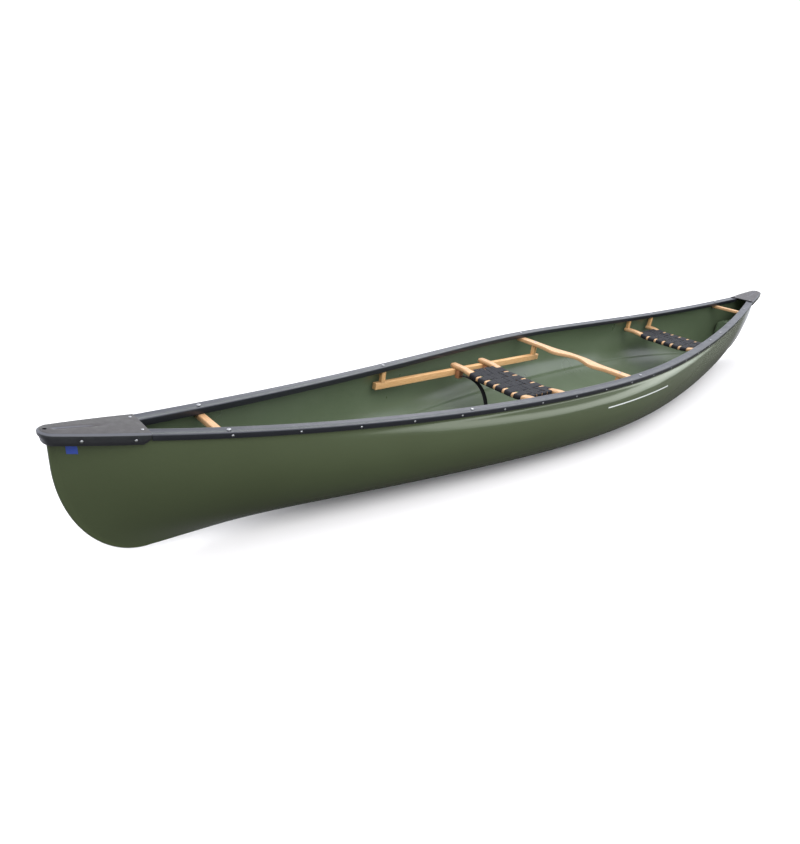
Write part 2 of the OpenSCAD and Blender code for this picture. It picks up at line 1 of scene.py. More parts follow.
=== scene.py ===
"""Looks of the canoe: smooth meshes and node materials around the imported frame.

Everything is in metres in the frame's own axes: +X to the bow, +Y to port, +Z up, with the origin at
the keel's lowest point amidships. Shapes that the frame fixes (seats, rails, posts, bolts) take their
places from the frame's boxes; the hull's lines are the formulas of the CAD source.
"""

import json
import math

import bmesh
import bpy
import numpy as np
from mathutils import Matrix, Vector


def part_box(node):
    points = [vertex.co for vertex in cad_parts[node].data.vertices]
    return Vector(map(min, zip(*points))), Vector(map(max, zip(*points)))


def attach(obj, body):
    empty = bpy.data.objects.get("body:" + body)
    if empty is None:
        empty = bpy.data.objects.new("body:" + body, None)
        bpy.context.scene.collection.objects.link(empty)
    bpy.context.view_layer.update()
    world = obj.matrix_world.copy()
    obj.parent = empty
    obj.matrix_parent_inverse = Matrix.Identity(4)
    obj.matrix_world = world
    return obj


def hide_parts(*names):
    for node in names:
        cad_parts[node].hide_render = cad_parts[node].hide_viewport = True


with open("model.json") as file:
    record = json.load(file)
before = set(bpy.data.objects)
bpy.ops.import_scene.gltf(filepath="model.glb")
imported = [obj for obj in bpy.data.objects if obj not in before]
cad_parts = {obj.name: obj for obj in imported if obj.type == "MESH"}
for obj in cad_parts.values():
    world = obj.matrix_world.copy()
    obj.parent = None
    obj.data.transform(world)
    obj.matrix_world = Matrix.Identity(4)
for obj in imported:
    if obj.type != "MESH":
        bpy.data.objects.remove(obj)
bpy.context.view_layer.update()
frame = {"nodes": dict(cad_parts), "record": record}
RECORD = frame["record"]
BODY_OF = {n: body for body, nodes in RECORD["behaviour"]["bodies"].items() for n in nodes}
MM = 0.001

# Lines of the hull, as in the CAD source -----------------------------------------------------
HALF_LEN = 2350 * MM
HALF_BEAM = 367.5 * MM
DEPTH = 330 * MM
WAIST_ROUND = 658 * MM
SHEER_RISE = 134 * MM
KEEL_ROCKER = 43 * MM
SKIN = 6 * MM
TUMBLEHOME = 30 * MM
STEM_SWEEP = 222 * MM
STEM_STRAIGHT_Z = DEPTH + 47 * MM
STEM_HALF = 7 * MM
RIM_LEN = HALF_LEN - 15 * MM
RIM_DROP = 6 * MM
HULL_INBOARD = 6 * MM
END_WALL = 24 * MM
FULLNESS = 0.8
SHEER_POWER = 2.66
ROCKER_POWER = 2.2
MID_SIDE, END_SIDE = 2.27, 0.95
MID_DEPTH, END_DEPTH = 5.4, 2.2
TUMBLE_START, TUMBLE_END = 0.55, 0.945

GUNWALE_W = 43 * MM
SKIRT_T = 3 * MM
SKIRT_H = 18 * MM
RIVET_DROP = 10.5 * MM
INWALE_H = 22 * MM
SLOT_W = 12 * MM
DECK_EDGES = {"bow_deck": 2110 * MM, "stern_deck": 2090 * MM}
DECK_FLANGE, DECK_PROUD, DECK_RISE = 31 * MM, 4 * MM, 5 * MM
DECK_NOSE_R = 38 * MM
DECK_NOSE_LEAN = math.radians(68)
HOLE_FROM_TIP = 17 * MM
RAIL_T, SEAT_DIP = 20 * MM, 14 * MM
STRAP_T = 1.5 * MM


def smooth(s):
    s = np.clip(s, 0, 1)
    return s * s * (3 - 2 * s)


def run(x):
    return np.sqrt(x * x + WAIST_ROUND**2) - WAIST_ROUND


def plan_y(x):
    """Half the width over the gunwales."""
    return HALF_BEAM * np.maximum(1 - run(x) / run(HALF_LEN), 0) ** FULLNESS


def sheer_z(x):
    return DEPTH + SHEER_RISE * (np.abs(x) / HALF_LEN) ** SHEER_POWER


def keel_z(x):
    return KEEL_ROCKER * (np.abs(x) / HALF_LEN) ** ROCKER_POWER


def slope(curve, x):
    return (curve(x + MM) - curve(x - MM)) / (2 * MM)


def flare(t, h):
    side = MID_SIDE + (END_SIDE - MID_SIDE) * t * t
    power = MID_DEPTH + (END_DEPTH - MID_DEPTH) * t * t
    return (1 - (1 - h) ** power) ** (1 / side)


def side_y(t, h, inset):
    """Half the skin's width at station t and height share h."""
    rim = np.maximum(plan_y(t * RIM_LEN) - HULL_INBOARD, STEM_HALF) - inset
    bulge = TUMBLEHOME * (1 - t * t)
    lean = (h - TUMBLE_START) / (TUMBLE_END - TUMBLE_START)
    return (rim + bulge) * flare(t, h) - bulge * np.clip(lean, 0, 1) ** 2


def stem_curve(h):
    low = keel_z(HALF_LEN)
    straight = (STEM_STRAIGHT_Z - low) / (sheer_z(HALF_LEN) - low)
    below = np.maximum(0, 1 - h / straight)
    return STEM_SWEEP * (1 - np.sqrt(1 - below * below))


def skin(t, h, side, inset, end_inset, end_power=40):
    """Points of the skin; the ends come in by end_inset."""
    low = keel_z(t * HALF_LEN) + inset
    x = t * (RIM_LEN - stem_curve(h)) - np.sign(t) * end_inset * np.abs(t) ** end_power
    z = low + (sheer_z(t * RIM_LEN) - RIM_DROP - low) * h
    return np.stack(np.broadcast_arrays(x, side * side_y(t, h, inset), z), -1)


# Mesh building --------------------------------------------------------------------------------
def arc(across, up, radius, start, stop, steps):
    """Points on a round from start to stop, in degrees."""
    a = np.radians(np.linspace(start, stop, steps + 1))
    return np.stack([across + radius * np.cos(a), up + radius * np.sin(a)], 1)


def rounded(width, height, radius, steps=4):
    """Outline of a rectangle with round corners, centred."""
    w, h = width / 2 - radius, height / 2 - radius
    corners = [(w, h, 0), (-w, h, 90), (-w, -h, 180), (w, -h, 270)]
    return np.concatenate([arc(a, b, radius, turn, turn + 90, steps) for a, b, turn in corners])


def eased(length, ease, steps=4):
    """(place along the length, inset) pairs that round over both ends."""
    a = np.radians(np.linspace(0, 90, steps + 1))
    near = [(ease * (1 - math.cos(x)), ease * (1 - math.sin(x))) for x in a]
    return near + [(length - place, inset) for place, inset in reversed(near)]


class Shape:
    """The vertices and faces of one piece, gathered part by part."""

    def __init__(self):
        self.points, self.faces, self.paints, self.count = [], [], [], 0

    def add(self, points, faces, paint=0):
        points = np.asarray(points, float).reshape(-1, 3)
        self.faces += [tuple(int(i) + self.count for i in face) for face in faces]
        self.paints += [paint] * len(faces)
        self.points.append(points)
        self.count += len(points)

    def sheet(self, rows, paint=0):
        """An open grid of points."""
        n, m = rows.shape[:2]
        self.add(rows, [(i * m + j, i * m + j + 1, (i + 1) * m + j + 1, (i + 1) * m + j)
                        for i in range(n - 1) for j in range(m - 1)], paint)

    def tube(self, rings, paint=0, caps=True):
        """Rings of points joined end to end, with flat ends."""
        rings = np.asarray(rings, float)
        n, m = rings.shape[:2]
        faces = [(i * m + j, i * m + (j + 1) % m, (i + 1) * m + (j + 1) % m, (i + 1) * m + j)
                 for i in range(n - 1) for j in range(m)]
        if caps:
            faces += [tuple(range(m))[::-1], tuple(range((n - 1) * m, n * m))]
        self.add(rings, faces, paint)

    def bar(self, start, end, width, height, radius, ease, across=(0, 1, 0)):
        """A straight timber of rounded section, its ends eased over."""
        start, end = np.array(start, float), np.array(end, float)
        length = np.linalg.norm(end - start)
        along = (end - start) / length
        across = np.array(across, float)
        across -= along * (across @ along)
        across /= np.linalg.norm(across)
        up = np.cross(along, across)
        rings = []
        for place, inset in eased(length, ease):
            outline = rounded(width - 2 * inset, height - 2 * inset, max(radius - inset, MM / 2))
            rings.append(start + along * place + outline[:, :1] * across + outline[:, 1:] * up)
        self.tube(rings)

    def lathe(self, profile, place, turns=24):
        """A closed profile of (radius, height) points turned about the local Z axis of `place`."""
        a = np.linspace(0, 2 * np.pi, turns, endpoint=False)
        rows = []
        for radius, height in profile:
            rows.append(np.stack([radius * np.cos(a), radius * np.sin(a), 0 * a + height], 1))
        rows = np.array(rows) @ np.array(place.to_3x3()).T + np.array(place.translation)
        self.tube(rows, caps=False)

    def piece(self, name, nodes, paints, sharp=38, slot=None):
        """Makes the object, which stands for the CAD nodes and rides on their body."""
        mesh = bpy.data.meshes.new(name)
        mesh.from_pydata(np.concatenate(self.points).tolist(), [], self.faces)
        for paint in paints:
            mesh.materials.append(paint)
        mesh.polygons.foreach_set("material_index", self.paints)
        work = bmesh.new()
        work.from_mesh(mesh)
        bmesh.ops.remove_doubles(work, verts=work.verts, dist=2e-6)
        bmesh.ops.dissolve_degenerate(work, dist=1e-6, edges=work.edges)
        bmesh.ops.recalc_face_normals(work, faces=work.faces)
        work.to_mesh(mesh)
        work.free()
        mesh.shade_smooth()
        mesh.set_sharp_from_angle(angle=math.radians(sharp))
        obj = bpy.data.objects.new(name, mesh)
        bpy.context.scene.collection.objects.link(obj)
        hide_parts(*nodes)
        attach(obj, BODY_OF[nodes[0]] if nodes else "canoe")
        return obj


def solids(node):
    """Boxes (low, high) of the separate solids in a CAD node."""
    work = bmesh.new()
    work.from_mesh(frame["nodes"][node].data)
    bmesh.ops.remove_doubles(work, verts=work.verts, dist=1e-6)
    seen, boxes = set(), []
    for start in work.verts:
        if start in seen:
            continue
        seen.add(start)
        group = [start]
        for vert in group:
            for edge in vert.link_edges:
                other = edge.other_vert(vert)
                if other not in seen:
                    seen.add(other)
                    group.append(other)
        points = np.array([v.co for v in group])
        boxes.append((points.min(0), points.max(0)))
    work.free()
    return boxes


def place_at(point, tilt=0.0, turn=0.0):
    """Local frame at a point: tilted about Y, then turned about Z, in radians."""
    return Matrix.Translation(point) @ Matrix.Rotation(turn, 4, "Z") @ Matrix.Rotation(tilt, 4, "Y")


# Materials ------------------------------------------------------------------------------------
class Paint:
    """A node material in object coordinates, built one node at a time."""

    def __init__(self, name, roughness=0.5, **surface):
        self.material = bpy.data.materials.new(name)
        self.material.use_nodes = True
        self.tree = self.material.node_tree
        self.surface = self.tree.nodes["Principled BSDF"]
        self.position = self.node("TexCoord").outputs["Object"]
        self.put("Roughness", roughness)
        for key, value in surface.items():
            self.put(key.replace("_", " "), value)

    def node(self, kind, inputs=None, **settings):
        made = self.tree.nodes.new("ShaderNode" + kind)
        for key, value in settings.items():
            setattr(made, key, value)
        for key, value in (inputs or {}).items():
            self.join(made.inputs[key], value)
        return made

    def join(self, socket, value):
        if isinstance(value, bpy.types.NodeSocket):
            self.tree.links.new(value, socket)
        else:
            socket.default_value = value

    def put(self, key, value):
        self.join(self.surface.inputs[key], value)

    def stretched(self, x, y, z):
        return self.node("Mapping", {"Vector": self.position, "Scale": (x, y, z)}).outputs[0]

    def noise(self, scale, detail=3.0, rough=0.5, vector=None, distortion=0.0):
        return self.node("TexNoise", {
            "Vector": vector or self.position, "Scale": scale, "Detail": detail,
            "Roughness": rough, "Distortion": distortion}).outputs["Fac"]

    def wave(self, scale, axis, vector=None, distortion=0.0, detail_scale=1.0, profile="SIN"):
        return self.node("TexWave", {
            "Vector": vector or self.position, "Scale": scale, "Distortion": distortion,
            "Detail": 2.0, "Detail Scale": detail_scale},
            bands_direction=axis, wave_profile=profile).outputs["Fac"]

    def ramp(self, value, *stops):
        """Colours or greys at places from 0 to 1."""
        made = self.node("ValToRGB", {"Fac": value})
        ends = made.color_ramp.elements
        while len(ends) < len(stops):
            ends.new(0.5)
        for end, (place, colour) in zip(ends, stops):
            end.position = place
            end.color = (*colour, 1) if isinstance(colour, tuple) else (colour, colour, colour, 1)
        return made.outputs["Color"]

    def calc(self, operation, a, b=0.0, clamp=False):
        made = self.node("Math", operation=operation, use_clamp=clamp)
        self.join(made.inputs[0], a)
        self.join(made.inputs[1], b)
        return made.outputs[0]

    def mix(self, share, a, b, blend="MIX"):
        made = self.node("MixRGB", blend_type=blend)
        for key, value in (("Fac", share), ("Color1", a), ("Color2", b)):
            self.join(made.inputs[key], (*value, 1) if isinstance(value, tuple) else value)
        return made.outputs[0]

    def axis(self, name):
        return self.node("SeparateXYZ", {"Vector": self.position}).outputs[name]

    def bumps(self, *layers):
        """Layers of (height socket, depth in metres), the coarsest first."""
        normal = None
        for height, depth in layers:
            made = self.node("Bump", {"Height": height, "Distance": depth})
            if normal:
                self.join(made.inputs["Normal"], normal)
            normal = made.outputs[0]
        self.put("Normal", normal)
        return normal

    def lighter_edges(self, start=0.53, full=0.62):
        """0 on open faces, 1 along convex edges, broken up by noise."""
        edge = self.node("NewGeometry").outputs["Pointiness"]
        edge = self.ramp(edge, (start, 0.0), (full, 1.0))
        return self.calc("MULTIPLY", edge, self.ramp(self.noise(60, 4), (0.35, 0.0), (0.65, 1.0)))


def hull_gloss():
    """Olive green outer skin: clear glossy surface over a slightly mottled colour, scuffed low down."""
    p = Paint("hull_gloss", 0.5, Specular_IOR_Level=0.2, Coat_Weight=1.0, Coat_IOR=1.55)
    tone = p.ramp(p.noise(2.2, 2), (0.3, (0.045, 0.057, 0.024)), (0.7, (0.052, 0.067, 0.029)))
    speck = p.ramp(p.noise(900, 1), (0.25, 0.93), (0.75, 1.05))
    low = p.ramp(p.calc("ADD", p.axis("Z"), p.calc("MULTIPLY", p.noise(14, 3), 0.05)),
                 (0.02, 1.0), (0.085, 0.0))
    scratch = p.ramp(p.noise(26, 5, 0.7, p.stretched(0.8, 14, 14)), (0.62, 0.0), (0.70, 1.0))
    scuff = p.calc("MULTIPLY", scratch, low)
    colour = p.mix(1.0, tone, speck, "MULTIPLY")
    p.put("Base Color", p.mix(p.calc("MULTIPLY", scuff, 0.35), colour, (0.12, 0.13, 0.10)))
    p.put("Coat Roughness", p.calc("ADD", p.calc("MULTIPLY", scuff, 0.3),
                                   p.ramp(p.noise(7, 4), (0.3, 0.015), (0.8, 0.05))))
    normal = p.bumps((p.noise(5, 1), 1.2 * MM), (p.noise(260, 2), 0.004 * MM), (scuff, 0.02 * MM))
    p.put("Coat Normal", normal)
    return p.material


def hull_satin():
    """Lighter satin inside of the hull, with the faint cloth print of a laminate."""
    p = Paint("hull_satin", 0.36, Specular_IOR_Level=0.7)
    tone = p.ramp(p.noise(3.0, 3), (0.3, (0.092, 0.122, 0.068)), (0.7, (0.106, 0.140, 0.080)))
    dust = p.ramp(p.noise(14, 4, 0.55), (0.4, 0.0), (0.8, 0.12))
    p.put("Base Color", p.mix(dust, tone, (0.16, 0.185, 0.13)))
    p.put("Roughness", p.ramp(p.noise(6, 3), (0.3, 0.27), (0.7, 0.34)))
    cloth = p.calc("ADD", p.wave(90, "X"), p.wave(90, "Y"))
    p.bumps((p.noise(5, 1), 0.4 * MM), (cloth, 0.003 * MM), (p.noise(420, 2), 0.004 * MM))
    return p.material


def vinyl():
    """Black extruded gunwale with fine drawing lines along it, coloured a lighter grey along its convex edges."""
    p = Paint("gunwale_vinyl", 0.36, Specular_IOR_Level=0.55, Specular_Tint=(0.90, 0.91, 1.0, 1.0))
    streak = p.noise(60, 4, 0.6, p.stretched(0.25, 9, 9))
    tone = p.ramp(streak, (0.3, (0.0085, 0.009, 0.012)), (0.7, (0.0105, 0.011, 0.0145)))
    p.put("Base Color", p.mix(p.calc("MULTIPLY", p.lighter_edges(), 0.5), tone, (0.05, 0.052, 0.06)))
    p.put("Roughness", p.ramp(p.noise(24, 5), (0.3, 0.29), (0.75, 0.40)))
    p.bumps((streak, 0.006 * MM), (p.noise(900, 1), 0.008 * MM))
    return p.material


def deck_plastic():
    """Dark grey-brown moulded deck with a fine leathery grain; painted shade makes its steep flange near black
    and a painted sky highlight makes its sloping rim blue-grey.
    """
    p = Paint("deck_plastic", 0.44, Specular_IOR_Level=0.55)
    tone = p.ramp(p.noise(30, 4), (0.3, (0.017, 0.0125, 0.0115)), (0.7, (0.021, 0.0155, 0.0145)))
    # Painted light by facing: steep and downward faces get a near-black painted shade, the sloping rim a light
    # blue-grey painted sky highlight; only the flat top plate keeps the brown tone.
    upward = p.node("SeparateXYZ", {"Vector": p.node("NewGeometry").outputs["Normal"]}).outputs["Z"]
    edge = p.ramp(upward, (0.35, (0.010, 0.010, 0.013)), (0.62, (0.055, 0.056, 0.066)),
                  (0.92, (0.055, 0.056, 0.066)))
    tone = p.mix(p.ramp(upward, (0.93, 0.0), (0.97, 1.0)), edge, tone)
    p.put("Base Color", p.mix(p.calc("MULTIPLY", p.lighter_edges(), 0.6), tone, (0.06, 0.06, 0.062)))
    p.put("Roughness", p.ramp(p.noise(55, 3), (0.3, 0.38), (0.7, 0.50)))
    cells = p.node("TexVoronoi", {"Vector": p.position, "Scale": 520.0},
                   feature="SMOOTH_F1").outputs["Distance"]
    p.bumps((cells, 0.10 * MM), (p.noise(1400, 2), 0.03 * MM))
    return p.material


def steel():
    """Bright stainless fasteners with light handling marks."""
    p = Paint("stainless_steel", 0.28, Metallic=1.0)
    p.put("Base Color", p.ramp(p.noise(300, 3), (0.3, (0.30, 0.30, 0.31)), (0.7, (0.40, 0.40, 0.41))))
    p.put("Roughness", p.ramp(p.noise(700, 3), (0.3, 0.20), (0.7, 0.38)))
    p.bumps((p.noise(1800, 2), 0.01 * MM))
    return p.material


def timber(name, along, dark, mid, light, lines=1.0):
    """Oiled straight-grained wood; `along` is the axis the grain follows."""
    p = Paint(name, 0.46, Specular_IOR_Level=0.35, Coat_Weight=0.04, Coat_Roughness=0.35)
    stretch = [1.0, 1.0, 1.0]
    stretch["XYZ".index(along)] = 0.045
    grain = p.stretched(*stretch)
    across = "Z" if along != "Z" else "Y"
    rings = p.wave(46 * lines, across, grain, 7.0, 14.0)
    board = p.noise(10, 3, 0.5, grain)
    tone = p.mix(p.ramp(rings, (0.15, 0.0), (0.95, 1.0)), light, mid)
    tone = p.mix(p.ramp(board, (0.35, 0.0), (0.75, 0.45)), tone, dark)
    pore_vector = [v * 1.0 for v in stretch]
    pore_vector["XYZ".index(along)] = 0.03
    pores = p.ramp(p.noise(850, 2, 0.5, p.stretched(*pore_vector)), (0.56, 0.0), (0.68, 1.0))
    tone = p.mix(p.calc("MULTIPLY", pores, 0.45), tone, dark)
    p.put("Base Color", p.mix(p.calc("MULTIPLY", p.lighter_edges(), 0.35), tone, light))
    p.put("Roughness", p.ramp(pores, (0.0, 0.42), (1.0, 0.62)))
    p.bumps((rings, 0.05 * MM), (p.calc("SUBTRACT", 1.0, pores), 0.06 * MM))
    return p.material


def ash(along):
    # The across-boat timbers (thwarts, yoke, seat cross rails) get a darker copy of the same ash: painted shade
    # that holds down their strongly top-lit faces.
    if along == "Y":
        return timber("ash_y", along, (0.34, 0.165, 0.07), (0.49, 0.275, 0.125), (0.59, 0.375, 0.20))
    return timber("ash_" + along.lower(), along, (0.40, 0.19, 0.07), (0.60, 0.335, 0.135),
                  (0.72, 0.45, 0.215))


def webbing(name, shade, rib):
    """Woven nylon: fine ribs one way, crossed by the weave, with a soft sheen; one black colour, painted darker
    in the weave's hollows and lighter on its ribs as painted shade and highlight.
    """
    p = Paint(name, 0.7, Specular_IOR_Level=0.22, Sheen_Weight=0.02, Sheen_Roughness=0.4)
    warp, weft = p.wave(rib, "X"), p.wave(rib, "Y")
    weave = p.calc("MAXIMUM", warp, weft)
    # Painted shade and highlight: the colour follows the weave's relief, darker in its hollows and lighter on its
    # raised ribs.
    low = tuple(0.55 * c for c in shade)
    high = tuple(1.35 * c for c in shade)
    tone = p.mix(p.ramp(weave, (0.2, 0.0), (0.9, 1.0)), low, high)
    p.put("Base Color", p.mix(p.ramp(p.noise(35, 4), (0.45, 0.0), (0.8, 0.35)), tone,
                              tuple(2.2 * c for c in shade)))
    p.bumps((weave, 0.12 * MM), (p.noise(1500, 2), 0.05 * MM))
    return p.material


def tank_satin():
    """Satin green skin of the float tanks."""
    p = Paint("tank_satin", 0.38)
    p.put("Base Color", p.ramp(p.noise(8, 3), (0.3, (0.095, 0.135, 0.075)), (0.7, (0.115, 0.16, 0.09))))
    p.bumps((p.noise(16, 2), 0.6 * MM), (p.noise(400, 2), 0.02 * MM))
    return p.material


def sticker(name, colour, print_colour):
    """Thin printed film with a faint ink grain."""
    p = Paint(name, 0.3, Coat_Weight=0.3)
    p.put("Base Color", p.mix(p.ramp(p.noise(600, 2), (0.4, 0.0), (0.7, 0.25)), colour, print_colour))
    p.bumps((p.noise(300, 2), 0.01 * MM))
    return p.material


GLOSS, SATIN, VINYL, DECK, STEEL = hull_gloss(), hull_satin(), vinyl(), deck_plastic(), steel()
ASH_X, ASH_Y_SHADED, ASH_Z = ash("X"), ash("Y"), ash("Z")
# The guide blocks' wood is much darker and redder than the ash: a wood colour with painted shade in it, for the
# shade they sit in under the seat's cross rail.
GUIDE_WOOD_SHADED = timber("guide_wood", "Z", (0.13, 0.045, 0.02), (0.27, 0.115, 0.05), (0.36, 0.17, 0.08))
WEB = webbing("seat_webbing", (0.009, 0.009, 0.0115), 260)
STRAP = webbing("strap_webbing", (0.007, 0.007, 0.0085), 300)
TANK = tank_satin()


# Hull -----------------------------------------------------------------------------------------
PANEL_HALF, PANEL_REACH, PANEL_RISE, PANEL_EDGE = 322 * MM, 1.9, 5 * MM, 16 * MM


def girth_shares(steps):
    """Height shares from keel to rim, closest together at both."""
    s = np.linspace(0, 1, steps + 1)
    h = 1 - np.cos(np.radians(90 * (1 - (1 - s) ** 2.4))) ** (2 / MID_DEPTH)
    h[-1] = 1
    return h


def floor_panel(points):
    """Raises the stiff floor panel above the inner skin, with a soft edge along the bilges."""
    x, y = points[..., 0], np.abs(points[..., 1])
    half = PANEL_HALF * np.maximum(1 - (x / PANEL_REACH) ** 2, 0)
    points[..., 2] += PANEL_RISE * smooth((half - y) / PANEL_EDGE) * smooth(half / (60 * MM))
    return points


def hull(stations=110, girth=72):
    h = girth_shares(girth)
    h = np.concatenate([h[::-1], h[1:]])[None, :]
    side = np.concatenate([np.ones(girth + 1), -np.ones(girth)])[None, :]
    t = np.sin(np.pi / 2 * np.linspace(-1, 1, 2 * stations + 1))[:, None]
    outer = skin(t, h, side, 0, STEM_HALF, 60)
    # round the stems over, from their sides to the centre plane
    for rows, end in ((outer[:1], -1), (outer[-1:], 1)):
        cap = []
        for a in np.radians(np.linspace(0, 90, 7))[1:]:
            ring = rows[0].copy()
            ring[:, 0] += end * STEM_HALF * math.sin(a)
            ring[:, 1] *= max(math.cos(a), 0) if a < 1.57 else 0
            cap.append(ring)
        outer = np.concatenate([np.array(cap[::-1]), outer] if end < 0 else [outer, np.array(cap)])
    inner = floor_panel(skin(t, h, side, SKIN, END_WALL))
    inner[[0, -1], :, 1] = 0
    pad = len(cap)
    inner = np.concatenate([inner[:1]] * pad + [inner] + [inner[-1:]] * pad)
    shape = Shape()
    shape.sheet(outer, 0)
    shape.sheet(inner, 1)
    for edge in (0, -1):
        shape.sheet(np.stack([outer[:, edge], inner[:, edge]], 1), 1)
    return shape.piece("hull_skin", ["hull"], [GLOSS, SATIN], sharp=60)


def on_hull(x_range, drop_range, side, lift=0.5 * MM, steps=(24, 6)):
    """A patch lifted off the outer skin, between two x and two distances below the gunwale's top."""
    xs = np.linspace(*x_range, steps[0])[:, None]
    drops = np.linspace(*drop_range, steps[1])[None, :]
    t = xs / RIM_LEN
    low = keel_z(t * HALF_LEN)
    h = 1 - (drops - RIM_DROP) / (sheer_z(t * RIM_LEN) - RIM_DROP - low)
    t = xs / (RIM_LEN - stem_curve(h))
    points = skin(t, h, side, 0, 0)
    along = np.gradient(points, axis=0)
    down = np.gradient(points, axis=1)
    normal = np.cross(along, down)
    normal /= np.linalg.norm(normal, axis=-1, keepdims=True)
    return points, points + normal * lift * np.sign(normal[..., 1:2] * side)


def film(name, x_range, drop_range, side, paint):
    """A thin blank film on the hull's side."""
    inner, outer = on_hull(x_range, drop_range, side)
    shape = Shape()
    shape.sheet(outer)
    shape.sheet(inner)
    for edge in (np.s_[0, :], np.s_[-1, :], np.s_[:, 0], np.s_[:, -1]):
        shape.sheet(np.stack([outer[edge], inner[edge]], 1))
    return shape.piece(name, [], [paint], slot="hull_green")


# Gunwales -------------------------------------------------------------------------------------
def gunwale_section():
    """(distance inboard of the outer edge, height above the sheer) round a gunwale, beaded on top."""
    r, bead, sunk = 3 * MM, 8 * MM, 1.1 * MM
    inner_wall = SKIRT_T + SLOT_W
    beads = [(bead, 0), (bead + 2.5 * MM, -sunk), (GUNWALE_W / 2, -sunk * 0.6),
             (GUNWALE_W - bead - 2.5 * MM, -sunk), (GUNWALE_W - bead, 0)]
    top = np.concatenate([arc(r, -r, r, 180, 90, 5), beads, arc(GUNWALE_W - r, -r, r, 90, 0, 5)])
    foot, lip = 2 * MM, 1.2 * MM
    return np.concatenate([
        top, arc(GUNWALE_W - foot, foot - INWALE_H, foot, 0, -90, 3),
        [(inner_wall, -INWALE_H), (inner_wall, -4 * MM), (SKIRT_T, -4 * MM)],
        arc(SKIRT_T - lip, lip - SKIRT_H, lip, 0, -90, 3),
        arc(lip, lip - SKIRT_H, lip, -90, -180, 3)])


def gunwale(node, side):
    section = gunwale_section()
    low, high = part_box(node)
    xs = np.linspace(low.x, high.x, 260)
    rings = [np.stack([0 * section[:, 0] + x, side * (plan_y(x) - section[:, 0]),
                       sheer_z(x) + section[:, 1]], 1) for x in xs]
    shape = Shape()
    shape.tube(rings)
    shape.piece(node + "_trim", [node], [VINYL], sharp=50)


def rivets(node, side):
    """Pop rivets: low domes with the broken stem's dimple."""
    profile = [(0, -0.2), (1.1, -0.2), (1.3, 0.5), (1.6, 1.5), (2.4, 1.3), (3.5, 0.7), (4.0, 0.1),
               (4.0, -0.3), (2.4, -0.4), (2.4, -6.0), (0, -6.0)]
    shape = Shape()
    for low, high in solids(node):
        x = (low[0] + high[0]) / 2
        outward = math.atan2(side, -side * slope(plan_y, x))
        z = sheer_z(x) - RIVET_DROP
        turn = Matrix.Rotation(outward, 4, "Z") @ Matrix.Rotation(math.pi / 2, 4, "Y")
        spot = Matrix.Translation((x, side * plan_y(x), z)) @ turn
        shape.lathe([(r * MM, h * MM) for r, h in profile], spot)
    shape.piece(node + "_heads", [node], [STEEL])


# Decks ----------------------------------------------------------------------------------------
def deck_lines(edge):
    """(tilt, length, half width at the back, start of the nose's round) of a deck."""
    tilt = math.atan((sheer_z(HALF_LEN) + DECK_RISE - sheer_z(edge)) / (HALF_LEN - edge))
    length = (HALF_LEN - edge + DECK_PROUD * math.sin(tilt)) / math.cos(tilt)
    fore = length - DECK_NOSE_R * (1 - math.cos(DECK_NOSE_LEAN))
    return tilt, length, plan_y(edge) + 1 * MM, fore


def deck_edge(edge, s):
    """Half width of a deck at s along it, up to the nose's round."""
    _, _, back, fore = deck_lines(edge)
    tip = DECK_NOSE_R * math.sin(DECK_NOSE_LEAN)
    return back + (tip - back) * s / fore + 12 * MM * s / fore * (1 - s / fore)


def deck_place(edge, end):
    tilt = deck_lines(edge)[0]
    turn = Matrix.Rotation(0 if end > 0 else math.pi, 4, "Z")
    return turn @ Matrix.Translation((edge, 0, sheer_z(edge))) @ Matrix.Rotation(-tilt, 4, "Y")


def moved(points, place):
    return points @ np.array(place.to_3x3()).T + np.array(place.translation)


